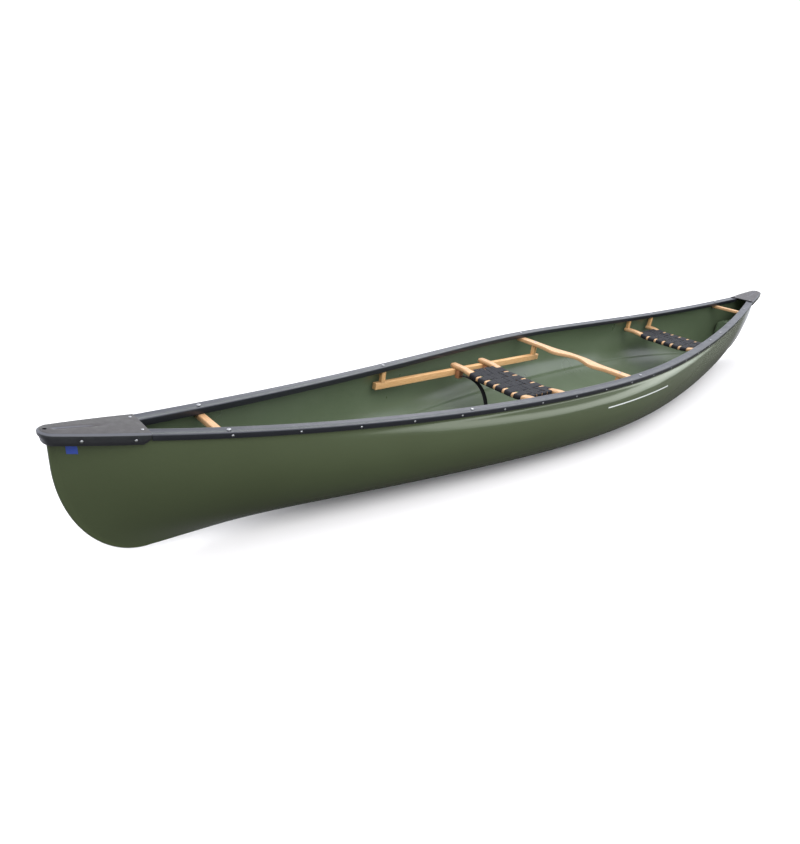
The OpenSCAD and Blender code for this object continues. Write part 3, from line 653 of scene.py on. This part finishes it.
def deck(node, end):
    """A moulded cap: crowned plate inside a sloping rim, a groove down its middle, flange all round."""
    edge = DECK_EDGES[node]
    _, length, _, fore = deck_lines(edge)
    s = np.concatenate([[0, 1.5 * MM], np.linspace(5 * MM, fore, 46)])
    side = np.stack([s, deck_edge(edge, s)], 1)
    nose = arc(length - DECK_NOSE_R, 0, DECK_NOSE_R, math.degrees(DECK_NOSE_LEAN), 0, 16)[1:]
    line = np.concatenate([side, nose])
    line[-1, 1] = 0
    run_on = np.gradient(line, axis=0)
    inward = np.stack([run_on[:, 1], -run_on[:, 0]], 1)
    inward /= np.linalg.norm(inward, axis=1, keepdims=True)
    inward[-1] = (-1, 0)
    inward[0] = inward[1]
    wall, top, under_top = 3 * MM, DECK_PROUD, DECK_PROUD - 4 * MM
    rim_w, rim_h, lip_r = 7.5 * MM, 4.5 * MM, 2.2 * MM
    rings = []
    for (s, y), (in_s, in_y) in zip(line, inward):
        ahead = max(0.0, -in_s)
        foot = DECK_PROUD - DECK_FLANGE + 13 * MM * (1 - min(s / (16 * MM), 1))
        tuck = 9 * MM * ahead**2

        def at(inset, z, s=s, y=y, in_s=in_s, in_y=in_y):
            return (s + in_s * inset, max(y + in_y * inset, 0) if in_y <= 0 else y, z)

        below = [at(wall + tuck, under_top), at(wall + tuck, foot), at(1 * MM + tuck, foot),
                 at(tuck, foot + 1.5 * MM), at(tuck * 0.75, foot * 0.6), at(tuck * 0.15, foot * 0.35)]
        over = [at(inset, z) for inset, z in
                [(lip_r * (1 - math.cos(a)), top - rim_h - lip_r * (1 - math.sin(a)) + lip_r * 0.4)
                 for a in np.radians(np.linspace(0, 60, 4))]]
        over += [at(rim_w * 0.6, top - rim_h * 0.32), at(rim_w * 0.9, top - 0.4 * MM)]
        inside = at(rim_w + 1.2 * MM, top - 0.1 * MM)
        half = inside[1]
        across = np.linspace(1, -1, 25)[1:-1]
        plate, under = [], []
        for v in across:
            crown = 1.0 * MM * (1 - v * v)
            window = smooth((s - 0.34 * length) / (0.2 * length)) * smooth((length - s - 26 * MM) / (16 * MM))
            dent = 3.2 * MM * math.exp(-((half * v) / (5.5 * MM)) ** 2) * window
            plate.append((inside[0], half * v, inside[2] + crown - dent))
            under.append((inside[0], -half * v, under_top))
        port = below + over + [inside]
        starboard = [(p[0], -p[1], p[2]) for p in reversed(port)]
        rings.append(port + plate + starboard + under)
    shape = Shape()
    place = deck_place(edge, end)
    shape.tube(moved(np.array(rings), place))
    piece = shape.piece(node + "_cap", [node], [DECK], sharp=50)
    hole = bpy.data.meshes.new(node + "_drill")
    work = bmesh.new()
    bmesh.ops.create_cone(work, cap_ends=True, segments=32, radius1=5 * MM, radius2=5 * MM, depth=0.03)
    work.transform(place @ Matrix.Translation((length - HOLE_FROM_TIP, 0, DECK_PROUD)))
    work.to_mesh(hole)
    work.free()
    cut(piece, hole)
    return piece


def cut(piece, mesh):
    """Takes a closed mesh away from a piece for good."""
    tool = bpy.data.objects.new(mesh.name, mesh)
    bpy.context.scene.collection.objects.link(tool)
    change = piece.modifiers.new("cut", "BOOLEAN")
    change.object = tool
    change.solver = "EXACT"
    bpy.context.view_layer.update()
    result = bpy.data.meshes.new_from_object(piece.evaluated_get(bpy.context.evaluated_depsgraph_get()))
    piece.modifiers.remove(change)
    piece.data = result
    result.set_sharp_from_angle(angle=math.radians(50))
    bpy.data.objects.remove(tool)


def deck_screws(node, deck_node, end):
    """Truss-head screws through the flange and the top plate."""
    profile = [(0, 0.9), (1.2, 0.9), (1.5, 1.6), (2.6, 1.5), (3.8, 0.9), (4.2, 0.1), (4.2, -0.3),
               (2.0, -0.4), (2.0, -9.0), (0, -9.0)]
    profile = [(r * MM, h * MM) for r, h in profile]
    edge = DECK_EDGES[deck_node]
    place = deck_place(edge, end)
    shape = Shape()
    for side in (-1, 1):
        for s in (36 * MM, 158 * MM):
            lean = (deck_edge(edge, s + MM) - deck_edge(edge, s - MM)) / (2 * MM)
            outward = math.atan2(side, -lean)
            turn = Matrix.Rotation(outward, 4, "Z") @ Matrix.Rotation(math.pi / 2, 4, "Y")
            spot = Matrix.Translation((s, side * deck_edge(edge, s), -15 * MM))
            shape.lathe(profile, place @ spot @ turn)
        top = Matrix.Translation((13 * MM, side * (plan_y(edge) - 28 * MM), DECK_PROUD + 0.6 * MM))
        shape.lathe(profile, place @ top)
    shape.piece(node + "_heads", [node], [STEEL])


# Float tanks ----------------------------------------------------------------------------------
TANK_GAP = 6 * MM


def tank_room(x, z):
    """Half the room for a tank inside the skin at x and z, less its gap."""
    h = 0.5
    for _ in range(6):
        t = min(1, x / (RIM_LEN - stem_curve(h)))
        low = keel_z(t * HALF_LEN) + SKIN
        h = float(np.clip((z - low) / (sheer_z(t * RIM_LEN) - RIM_DROP - low), 0, 1))
    t = min(1, (x + TANK_GAP) / (RIM_LEN - stem_curve(h)))
    return max(0.0, float(side_y(t, h, SKIN)) - TANK_GAP)


def float_tank(node, end):
    """A smooth foam block with an eased face, as wide as the narrow end of the hull allows."""
    low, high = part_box(node)
    half, crown = high.y, 34 * MM
    near, far = (low.x, high.x) if end > 0 else (-high.x, -low.x)
    rings = []
    for place, inset in eased(far - near, 14 * MM, 5)[:6] + [(p, 0) for p in np.linspace(30 * MM, far - near, 6)]:
        x = near + place
        foot = low.z
        while tank_room(x, foot) < 6 * MM + inset:
            foot += 2 * MM
        foot += inset
        side_top = high.z - crown
        z = foot + (side_top - foot) * np.linspace(0, 1, 14) ** 1.6
        width = np.array([min(half, tank_room(x, height)) for height in z]) - inset
        top = arc(0, 0, 1, 0, 90, 10)[1:] * [width[-1], crown - inset * 0.6] + [0, side_top]
        line = np.concatenate([np.stack([width, z], 1), top])
        port = np.stack([0 * line[:, 0] + end * x, line[:, 0], line[:, 1]], 1)
        rings.append(np.concatenate([port, (port * [1, -1, 1])[::-1][1:]]))
    shape = Shape()
    shape.tube(rings)
    shape.piece(node + "_skin", [node], [TANK], sharp=60)


# Timber ---------------------------------------------------------------------------------------
def thwart(node, end):
    """Carry thwart: a straight ash bar with softly rounded edges."""
    low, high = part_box(node)
    centre = (low + high) / 2
    shape = Shape()
    start = (centre.x, low.y, centre.z)
    stop = (centre.x, high.y, centre.z)
    tilt = math.atan(slope(sheer_z, abs(centre.x))) * end
    shape.bar(start, stop, 24 * MM, 18 * MM, 4 * MM, 1.5 * MM,
              across=(math.cos(tilt), 0, math.sin(tilt)))
    shape.piece(node + "_bar", [node], [ASH_Y_SHADED])


def bump(y, reach):
    return np.where(np.abs(y) < reach, (1 + np.cos(np.pi * y / reach)) / 2, 0)


def yoke():
    """Carved yoke: shoulder lobes, a neck notch, and edges worked to a round."""
    low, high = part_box("yoke")
    half, top, thick = high.y, high.z, high.z - low.z
    centre, end_half = -8 * MM, 21 * MM
    rings = []
    for place, inset in ([(p, i) for p, i in eased(2 * half, 2 * MM)[:5]]
                         + [(p, 0) for p in np.linspace(0.01, 2 * half - 0.01, 110)]
                         + [(p, i) for p, i in eased(2 * half, 2 * MM)[5:]]):
        y = place - half
        front = centre + end_half + 18 * MM * np.exp(-((abs(y) - 0.115) / 0.045) ** 2)
        front = front - 26 * MM * bump(y, 0.090)
        back = centre - end_half - 23 * MM * bump(y, 0.150)
        carve = 1 - float(smooth((abs(y) - 0.20) / 0.06))
        outline = rounded(front - back - 2 * inset, thick - 2 * inset, (3.5 + 1.5 * carve) * MM - inset, 5)
        dish = 1.5 * MM * bump(y, 0.07) * (outline[:, 1] > 0)
        rings.append(np.stack([(front + back) / 2 + outline[:, 0], 0 * outline[:, 0] + y,
                               top - thick / 2 + outline[:, 1] - dish], 1))
    shape = Shape()
    shape.tube(rings)
    shape.piece("carved_yoke", ["yoke"], [ASH_Y_SHADED])


SLIDE_AXIS = np.array(RECORD["behaviour"]["joints"][0]["axis"], float)
SLIDE_TILT = math.atan2(SLIDE_AXIS[2], SLIDE_AXIS[0])
SLIDE_RAIL_W, SLIDE_RAIL_H, SLIDE_RAIL_END = 22 * MM, 29 * MM, 38 * MM


def slide_rail(node):
    low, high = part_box(node)
    across = math.sin(SLIDE_TILT) * SLIDE_RAIL_H / 2
    drop = math.cos(SLIDE_TILT) * SLIDE_RAIL_H / 2
    y = (low.y + high.y) / 2
    shape = Shape()
    shape.bar((low.x + across, y, low.z + drop), (high.x - across, y, high.z - drop),
              SLIDE_RAIL_W, SLIDE_RAIL_H, 2.5 * MM, 1.2 * MM)
    shape.piece(node + "_bar", [node], [ASH_X])


def posts(node):
    """Square posts with eased edges, one for each solid of the node."""
    shape = Shape()
    for low, high in solids(node):
        x, y = (low[0] + high[0]) / 2, (low[1] + high[1]) / 2
        shape.bar((x, y, low[2]), (x, y, high[2]), high[1] - low[1], high[0] - low[0], 3 * MM, MM)
    shape.piece(node + "_timber", [node], [ASH_Z])


def guide_blocks():
    shape = Shape()
    for low, high in solids("seat_guide_blocks"):
        x, y = (low[0] + high[0]) / 2, (low[1] + high[1]) / 2
        lean = math.sin(SLIDE_TILT) * (high[2] - low[2]) / 2
        shape.bar((x + lean, y, low[2] + 0.4 * MM), (x - lean, y, high[2] - 0.4 * MM),
                  24 * MM, 34 * MM, 5 * MM, 1.5 * MM)
    shape.piece("guide_blocks_timber", ["seat_guide_blocks"], [GUIDE_WOOD_SHADED])


# Seats ----------------------------------------------------------------------------------------
class Seat:
    """A woven seat: local x forward, y to port, z = 0 at the lower face of its rails' ends."""

    def __init__(self, prefix, place, tilt, weft_count):
        self.prefix, self.place, self.weft_count = prefix, place, weft_count
        near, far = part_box(prefix + "_rear_rail"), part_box(prefix + "_front_rail")
        gap = (far[0].x + far[1].x - near[0].x - near[1].x) / 2
        self.pitch = gap / math.cos(tilt)
        self.rail_w = 38 * MM
        self.web_half, self.web_side = 145 * MM, 172 * MM
        self.front_half = far[1].y
        self.rear_half = near[1].y

    def bend(self, points):
        """Lets the flat seat sink in the middle, then puts it in place."""
        points = np.array(points, float)
        points[..., 2] -= SEAT_DIP * smooth((208 * MM - np.abs(points[..., 1])) / (112 * MM))
        return moved(points, self.place)

    def cross_rail(self, which):
        node = f"{self.prefix}_{which}_rail"
        end = 1 if which == "front" else -1
        half = self.front_half if which == "front" else self.rear_half
        x = end * self.pitch / 2
        rings = []
        stops = [(p - half, i) for p, i in eased(2 * half, 7 * MM, 5)]
        middle = [(y, 0) for y in np.linspace(-half + 0.012, half - 0.012, 70)]
        for y, inset in stops[:6] + middle + stops[6:]:
            outline = rounded(self.rail_w - 2 * inset, RAIL_T - 2 * inset, max(8 * MM - inset, MM), 5)
            rings.append(np.stack([x + outline[:, 0], 0 * outline[:, 0] + y,
                                   RAIL_T / 2 + outline[:, 1]], 1))
        shape = Shape()
        shape.tube(self.bend(rings))
        shape.piece(node + "_bar", [node], [ASH_Y_SHADED])

    def side_rail(self, which, side):
        node = f"{self.prefix}_{which}_side"
        y = side * (self.web_side - 13 * MM)
        half = (self.pitch - self.rail_w) / 2
        shape = Shape()
        rings = []
        for place, inset in eased(2 * half, 0.6 * MM, 2):
            outline = rounded(22 * MM - 2 * inset, 17 * MM - 2 * inset, 4 * MM - inset, 4)
            rings.append(np.stack([0 * outline[:, 0] + place - half, y + outline[:, 0],
                                   RAIL_T / 2 - MM + outline[:, 1]], 1))
        shape.tube(self.bend(rings))
        shape.piece(node + "_bar", [node], [ASH_X])

    def webbing(self):
        """Straps woven over and under each other and wound round the rails."""
        shape = Shape()
        warp_n, width = 6, 38 * MM
        gap = (2 * self.web_half - warp_n * width) / (warp_n - 1)
        warp_y = [-self.web_half + width / 2 + k * (width + gap) for k in range(warp_n)]
        clear = self.pitch - self.rail_w
        weft_w = min(width, 0.87 * clear / self.weft_count)
        weft_gap = (clear - self.weft_count * weft_w) / (self.weft_count + 1)
        weft_x = [-clear / 2 + weft_gap + weft_w / 2 + k * (weft_w + weft_gap)
                  for k in range(self.weft_count)]
        top = RAIL_T + 1.1 * MM
        for k, y in enumerate(warp_y):
            path = self.over(weft_x, clear / 2 + 4 * MM, (-1) ** k, self.sag)
            outer = self.pitch / 2 + self.rail_w / 2
            path = self.wrap(path, outer, top, RAIL_T, 8 * MM, clear / 2 + 6 * MM)
            self.ribbon(shape, [(x, y, z) for x, z in path], (0, 1, 0), width)
        for k, x in enumerate(weft_x):
            half = self.web_side - 1 * MM
            path = self.over(warp_y, self.web_half - 4 * MM, (-1) ** (k + 1), lambda y, x=x: self.sag(x))
            path = self.wrap(path, half - 1 * MM, top, 17 * MM, 4 * MM, half - 21 * MM, 2.5 * MM)
            self.ribbon(shape, [(x, y, z) for y, z in path], (1, 0, 0), weft_w)
        node = self.prefix + "_webbing"
        shape.piece(node + "_weave", [node], [WEB], sharp=60)

    def sag(self, x):
        """The web hangs slightly between the rails."""
        half = (self.pitch - self.rail_w) / 2
        return -2.2 * MM * max(0.0, 1 - (x / half) ** 2)

    def over(self, crossings, reach, sign, sag):
        """(place, height above the web's middle) along a strap that goes over and under."""
        rise = STRAP_T * 0.56
        path = []
        for place in np.linspace(-reach, reach, int(reach * 2 / (2.6 * MM))):
            near = min(range(len(crossings)), key=lambda i: abs(crossings[i] - place))
            pitch = crossings[1] - crossings[0]
            away = (place - crossings[near]) / pitch
            lift = math.cos(math.pi * min(abs(away), 1.0))
            lift = math.copysign(abs(lift) ** 0.45, lift)
            path.append((place, sign * (-1) ** near * rise * lift + sag(place)))
        return path

    def wrap(self, path, outer, top, thick, radius, back, low=0.0):
        """Carries a strap's ends round a rail's outer edge and back under it."""
        t = STRAP_T / 2 + 0.2 * MM
        turn = [(outer - radius + (radius + t) * math.sin(a), -radius + (radius + t) * math.cos(a))
                for a in np.radians(np.linspace(0, 90, 6))]
        under = [(outer + t, -thick + radius)]
        under += [(outer - radius + (radius + t) * math.cos(a), radius - thick - (radius + t) * math.sin(a))
                  for a in np.radians(np.linspace(15, 90, 6))]
        under += [(back, -thick - t)]
        rail_top = top - 1.1 * MM - low
        edge = [(x, rail_top + z) for x, z in turn + under]
        middle = [(x, top + z + STRAP_T / 2 + 0.3 * MM) for x, z in path if abs(x) < path[-1][0] - 2 * MM]
        return [(-x, z) for x, z in reversed(edge)] + middle + edge

    def ribbon(self, shape, path, across, width):
        """A flat strap of even thickness along a path."""
        path, across = np.array(path), np.array(across, float)
        along = np.gradient(path, axis=0)
        along /= np.linalg.norm(along, axis=1, keepdims=True)
        up = np.cross(along, across)
        up /= np.linalg.norm(up, axis=1, keepdims=True)
        outline = rounded(width, STRAP_T, STRAP_T * 0.45, 2)
        # extra points across the flat faces, so that the strap can follow the seat's dip
        flat = np.linspace(-0.5, 0.5, 7)[1:-1] * (width - STRAP_T)
        upper = np.stack([flat[::-1], 0 * flat + STRAP_T / 2], 1)
        lower = np.stack([flat, 0 * flat - STRAP_T / 2], 1)
        third = len(outline) // 4
        outline = np.concatenate([outline[:third], upper, outline[third:3 * third], lower,
                                  outline[3 * third:]])
        rings = [p + outline[:, :1] * across + outline[:, 1:] * u for p, u in zip(path, up)]
        shape.tube(self.bend(rings))


def rail_line(x):
    """Height of the slide rails' top at x, from the port rail's box."""
    low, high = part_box("port_slide_rail")
    top_end = high.x - math.sin(SLIDE_TILT) * SLIDE_RAIL_H
    return high.z + (x - top_end) * math.tan(SLIDE_TILT)


def seats():
    rails = [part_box(f"slide_seat_{which}_rail") for which in ("rear", "front")]
    x = sum(low.x + high.x for low, high in rails) / 4
    lift = 0.3 * MM
    middle = x + math.sin(SLIDE_TILT) * 8 * MM
    place = (Matrix.Translation((middle, 0, rail_line(middle))) @ Matrix.Rotation(-SLIDE_TILT, 4, "Y")
             @ Matrix.Translation((0, 0, lift)))
    sliding = Seat("slide_seat", place, SLIDE_TILT, 4)
    rails = [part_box(f"stern_seat_{which}_rail") for which in ("rear", "front")]
    x = sum(low.x + high.x for low, high in rails) / 4
    fixed = Seat("stern_seat", Matrix.Translation((x, 0, rails[0][1].z - RAIL_T)), 0, 4)
    for seat in (sliding, fixed):
        for which in ("front", "rear"):
            seat.cross_rail(which)
        seat.side_rail("port", 1)
        seat.side_rail("starboard", -1)
        seat.webbing()
    return sliding


def loose_strap(seat):
    """The strap under the sliding seat: out from a guide block, then down to the floor."""
    ends = np.array([(-208, -26), (-105, 1), (-26, -30), (-20, -232)]) * MM
    s = np.linspace(0, 1, 60)[:, None]
    curve = ((1 - s) ** 3 * ends[0] + 3 * s * (1 - s) ** 2 * ends[1]
             + 3 * s * s * (1 - s) * ends[2] + s**3 * ends[3])
    width, thick = 25 * MM, 1.8 * MM
    x = seat.pitch / 2
    along = np.gradient(curve, axis=0)
    along /= np.linalg.norm(along, axis=1, keepdims=True)
    outline = rounded(width, thick, thick * 0.45, 2)
    rings = []
    for i, ((y, z), (dy, dz)) in enumerate(zip(curve, along)):
        sway = 3 * MM * math.sin(i / 59 * math.pi * 1.5)
        rings.append(np.stack([x + sway + outline[:, 0], y - dz * outline[:, 1],
                               z + 1.2 * MM + dy * outline[:, 1]], 1))
    shape = Shape()
    shape.tube(moved(np.array(rings), seat.place @ Matrix.Translation((0, 0, -0.3 * MM))))
    shape.piece("loose_strap", ["seat_strap"], [STRAP], sharp=60)


# Fasteners ------------------------------------------------------------------------------------
def bolts(node):
    """Carriage bolts: a smooth dome on a shank that ends in a chamfer."""
    shape = Shape()
    for low, high in solids(node):
        reach = (high[2] - low[2]) / MM - 3
        dome = [(6.5 * math.sin(a) ** 0.9, 0.5 + 2.5 * math.cos(a)) for a in
                np.radians(np.linspace(0, 90, 8))]
        profile = dome + [(6.5, 0), (3, 0), (3, 0.8 - reach), (2.3, -reach), (0, -reach)]
        spot = Matrix.Translation(((low[0] + high[0]) / 2, (low[1] + high[1]) / 2, high[2] - 3 * MM))
        shape.lathe([(r * MM, h * MM) for r, h in profile], spot, 28)
    shape.piece(node + "_turned", [node], [STEEL])


def nuts(node):
    """Washer and chamfered hexagon nut, joined at the bore."""
    shape = Shape()
    for low, high in solids(node):
        if high[2] - low[2] < 4 * MM:
            continue
        spot = Matrix.Translation(((low[0] + high[0]) / 2, (low[1] + high[1]) / 2, high[2]))
        washer = [(3.1, 0), (7.2, 0), (7.6, -0.3), (7.6, -0.9), (7.2, -1.2), (3.1, -1.2), (3.1, 0)]
        shape.lathe([(r * MM, h * MM) for r, h in washer], spot, 28)
        nut = [(3.1, -1.2), (5.0, -1.2), (5.6, -1.7), (5.6, -5.7), (5.0, -6.2), (3.1, -6.2), (3.1, -1.2)]
        shape.lathe([(r * MM, h * MM) for r, h in nut], spot, 6)
    shape.piece(node + "_hex", [node], [STEEL], sharp=25)


def guide_screws():
    """Long screws up through the guide blocks, only their heads showing."""
    profile = [(0, -0.8), (1.2, -0.8), (1.6, -1.6), (3.4, -1.2), (4, -0.2), (4, 0), (2, 0.1), (2, 30),
               (0, 30)]
    shape = Shape()
    for low, high in solids("guide_block_screws"):
        spot = Matrix.Translation(((low[0] + high[0]) / 2, (low[1] + high[1]) / 2, low[2] + 1.7 * MM))
        shape.lathe([(r * MM, h * MM) for r, h in profile], spot @ Matrix.Rotation(-SLIDE_TILT, 4, "Y"))
    shape.piece("guide_block_screw_heads", ["guide_block_screws"], [STEEL])


# Studio ---------------------------------------------------------------------------------------
def light_path(tree, name):
    return tree.nodes.new("ShaderNodeLightPath").outputs[name]


def studio_floor():
    """A plain pale floor; in reflections its port side is dark, as a black flag there would make it."""
    mesh = bpy.data.meshes.new("studio_floor")
    size = 5
    mesh.from_pydata([(-size, -size, 0), (size, -size, 0), (size, size, 0), (-size, size, 0)],
                     [], [(0, 1, 2, 3)])
    floor = bpy.data.objects.new("studio_floor", mesh)
    bpy.context.scene.collection.objects.link(floor)
    p = Paint("floor_paint", 1.0, Specular_IOR_Level=0.0)
    camera = light_path(p.tree, "Is Camera Ray")
    grain = p.ramp(p.noise(1.5, 3), (0.3, (0.80, 0.775, 0.75)), (0.7, (0.82, 0.795, 0.77)))
    aside = p.calc("DIVIDE", p.calc("ADD", p.axis("Y"), 0.6), size + 0.6)
    flag = p.ramp(aside, (0.0, (0.60, 0.60, 0.62)), (0.12, (0.09, 0.088, 0.08)),
                  (0.55, (0.09, 0.088, 0.08)), (1.0, (0.22, 0.24, 0.21)))
    p.put("Base Color", p.mix(camera, flag, grain))
    mesh.materials.append(p.material)


def sky():
    """White to the camera; to everything else an overcast sky, brightest at the horizon."""
    world = bpy.data.worlds.new("studio_sky")
    bpy.context.scene.world = world
    world.use_nodes = True
    tree = world.node_tree
    nodes, links = tree.nodes, tree.links
    back = nodes["Background"]
    toward = nodes.new("ShaderNodeSeparateXYZ")
    links.new(nodes.new("ShaderNodeTexCoord").outputs["Generated"], toward.inputs[0])
    height = nodes.new("ShaderNodeMapRange")
    links.new(toward.outputs["Z"], height.inputs["Value"])
    height.inputs["From Min"].default_value = -0.2
    ramp = nodes.new("ShaderNodeValToRGB")
    links.new(height.outputs[0], ramp.inputs["Fac"])
    stops = [(0.0, (0.04, 0.04, 0.033)), (0.10, (0.08, 0.08, 0.065)), (0.14, (0.60, 0.66, 0.60)),
             (0.17, (0.94, 1.0, 0.92)), (0.21, (0.94, 1.0, 0.92)), (0.235, (0.15, 0.17, 0.15)),
             (0.30, (0.18, 0.20, 0.19)), (0.38, (0.565, 0.585, 0.645)), (1.0, (0.585, 0.60, 0.64))]
    ends = ramp.color_ramp.elements
    while len(ends) < len(stops):
        ends.new(0.5)
    for end, (place, colour) in zip(ends, stops):
        end.position = place
        end.color = (*colour, 1)
    mix = nodes.new("ShaderNodeMixRGB")
    links.new(light_path(tree, "Is Camera Ray"), mix.inputs["Fac"])
    links.new(ramp.outputs["Color"], mix.inputs["Color1"])
    mix.inputs["Color2"].default_value = (0.4, 0.4, 0.4, 1)
    links.new(mix.outputs[0], back.inputs["Color"])
    back.inputs["Strength"].default_value = 3.0


def soft_light(name, spot, size, watts):
    """A large square light aimed at the middle of the boat."""
    lamp = bpy.data.lights.new(name, "AREA")
    lamp.shape, lamp.size, lamp.energy = "SQUARE", size, watts
    obj = bpy.data.objects.new(name, lamp)
    bpy.context.scene.collection.objects.link(obj)
    toward = Matrix.Translation(spot).to_translation() * -1
    obj.matrix_world = Matrix.Translation(spot) @ toward.to_track_quat("-Z", "Y").to_matrix().to_4x4()


def camera():
    """Seen from off the port bow, above the gunwales, with the slight roll of a held camera."""
    lens = bpy.data.cameras.new("camera")
    lens.lens, lens.sensor_width, lens.clip_end = 25.59, 36, 200
    obj = bpy.data.objects.new("camera", lens)
    bpy.context.scene.collection.objects.link(obj)
    heading, pitch, roll = (math.radians(a) for a in (-134.599, -24.753, 6.689))
    obj.matrix_world = (Matrix.Translation((2.6125, 1.4764, 1.1722))
                        @ Matrix.Rotation(heading - math.pi / 2, 4, "Z")
                        @ Matrix.Rotation(math.pi / 2 + pitch, 4, "X")
                        @ Matrix.Rotation(roll, 4, "Z"))
    bpy.context.scene.camera = obj


# Assembly -------------------------------------------------------------------------------------
def build():
    hull()
    for side, name in ((1, "port"), (-1, "starboard")):
        gunwale(name + "_gunwale", side)
        rivets(name + "_gunwale_rivets", side)
        slide_rail(name + "_slide_rail")
        posts(name + "_front_hanger")
        posts(name + "_rear_post")
    for end, name in ((1, "bow"), (-1, "stern")):
        deck(name + "_deck", end)
        deck_screws(name + "_deck_screws", name + "_deck", end)
        float_tank(name + "_float_tank", end)
        thwart(name + "_carry_thwart", end)
    yoke()
    posts("stern_seat_front_hangers")
    posts("stern_seat_rear_hangers")
    guide_blocks()
    guide_screws()
    sliding = seats()
    loose_strap(sliding)
    for group in ("thwart", "slide_rail", "stern_seat"):
        bolts(group + "_bolts")
        nuts(group + "_nuts")
    film("bow_label", (2.274, 2.298), (0.0345, 0.0555), 1,
         sticker("label_film", (0.03, 0.06, 0.30), (0.05, 0.09, 0.36)))
    film("side_stripe", (-0.28, 0.28), (0.090, 0.095), 1,
         sticker("stripe_film", (0.62, 0.64, 0.62), (0.7, 0.7, 0.7)))


build()
studio_floor()
sky()
soft_light("key_light", (1.5, 3.5, 5.0), 3.5, 160)
soft_light("fill_light", (-3.0, -3.0, 5.0), 4.0, 120)
camera()
bpy.context.scene.view_settings.view_transform = "Standard"
bpy.context.scene.view_settings.look = "None"
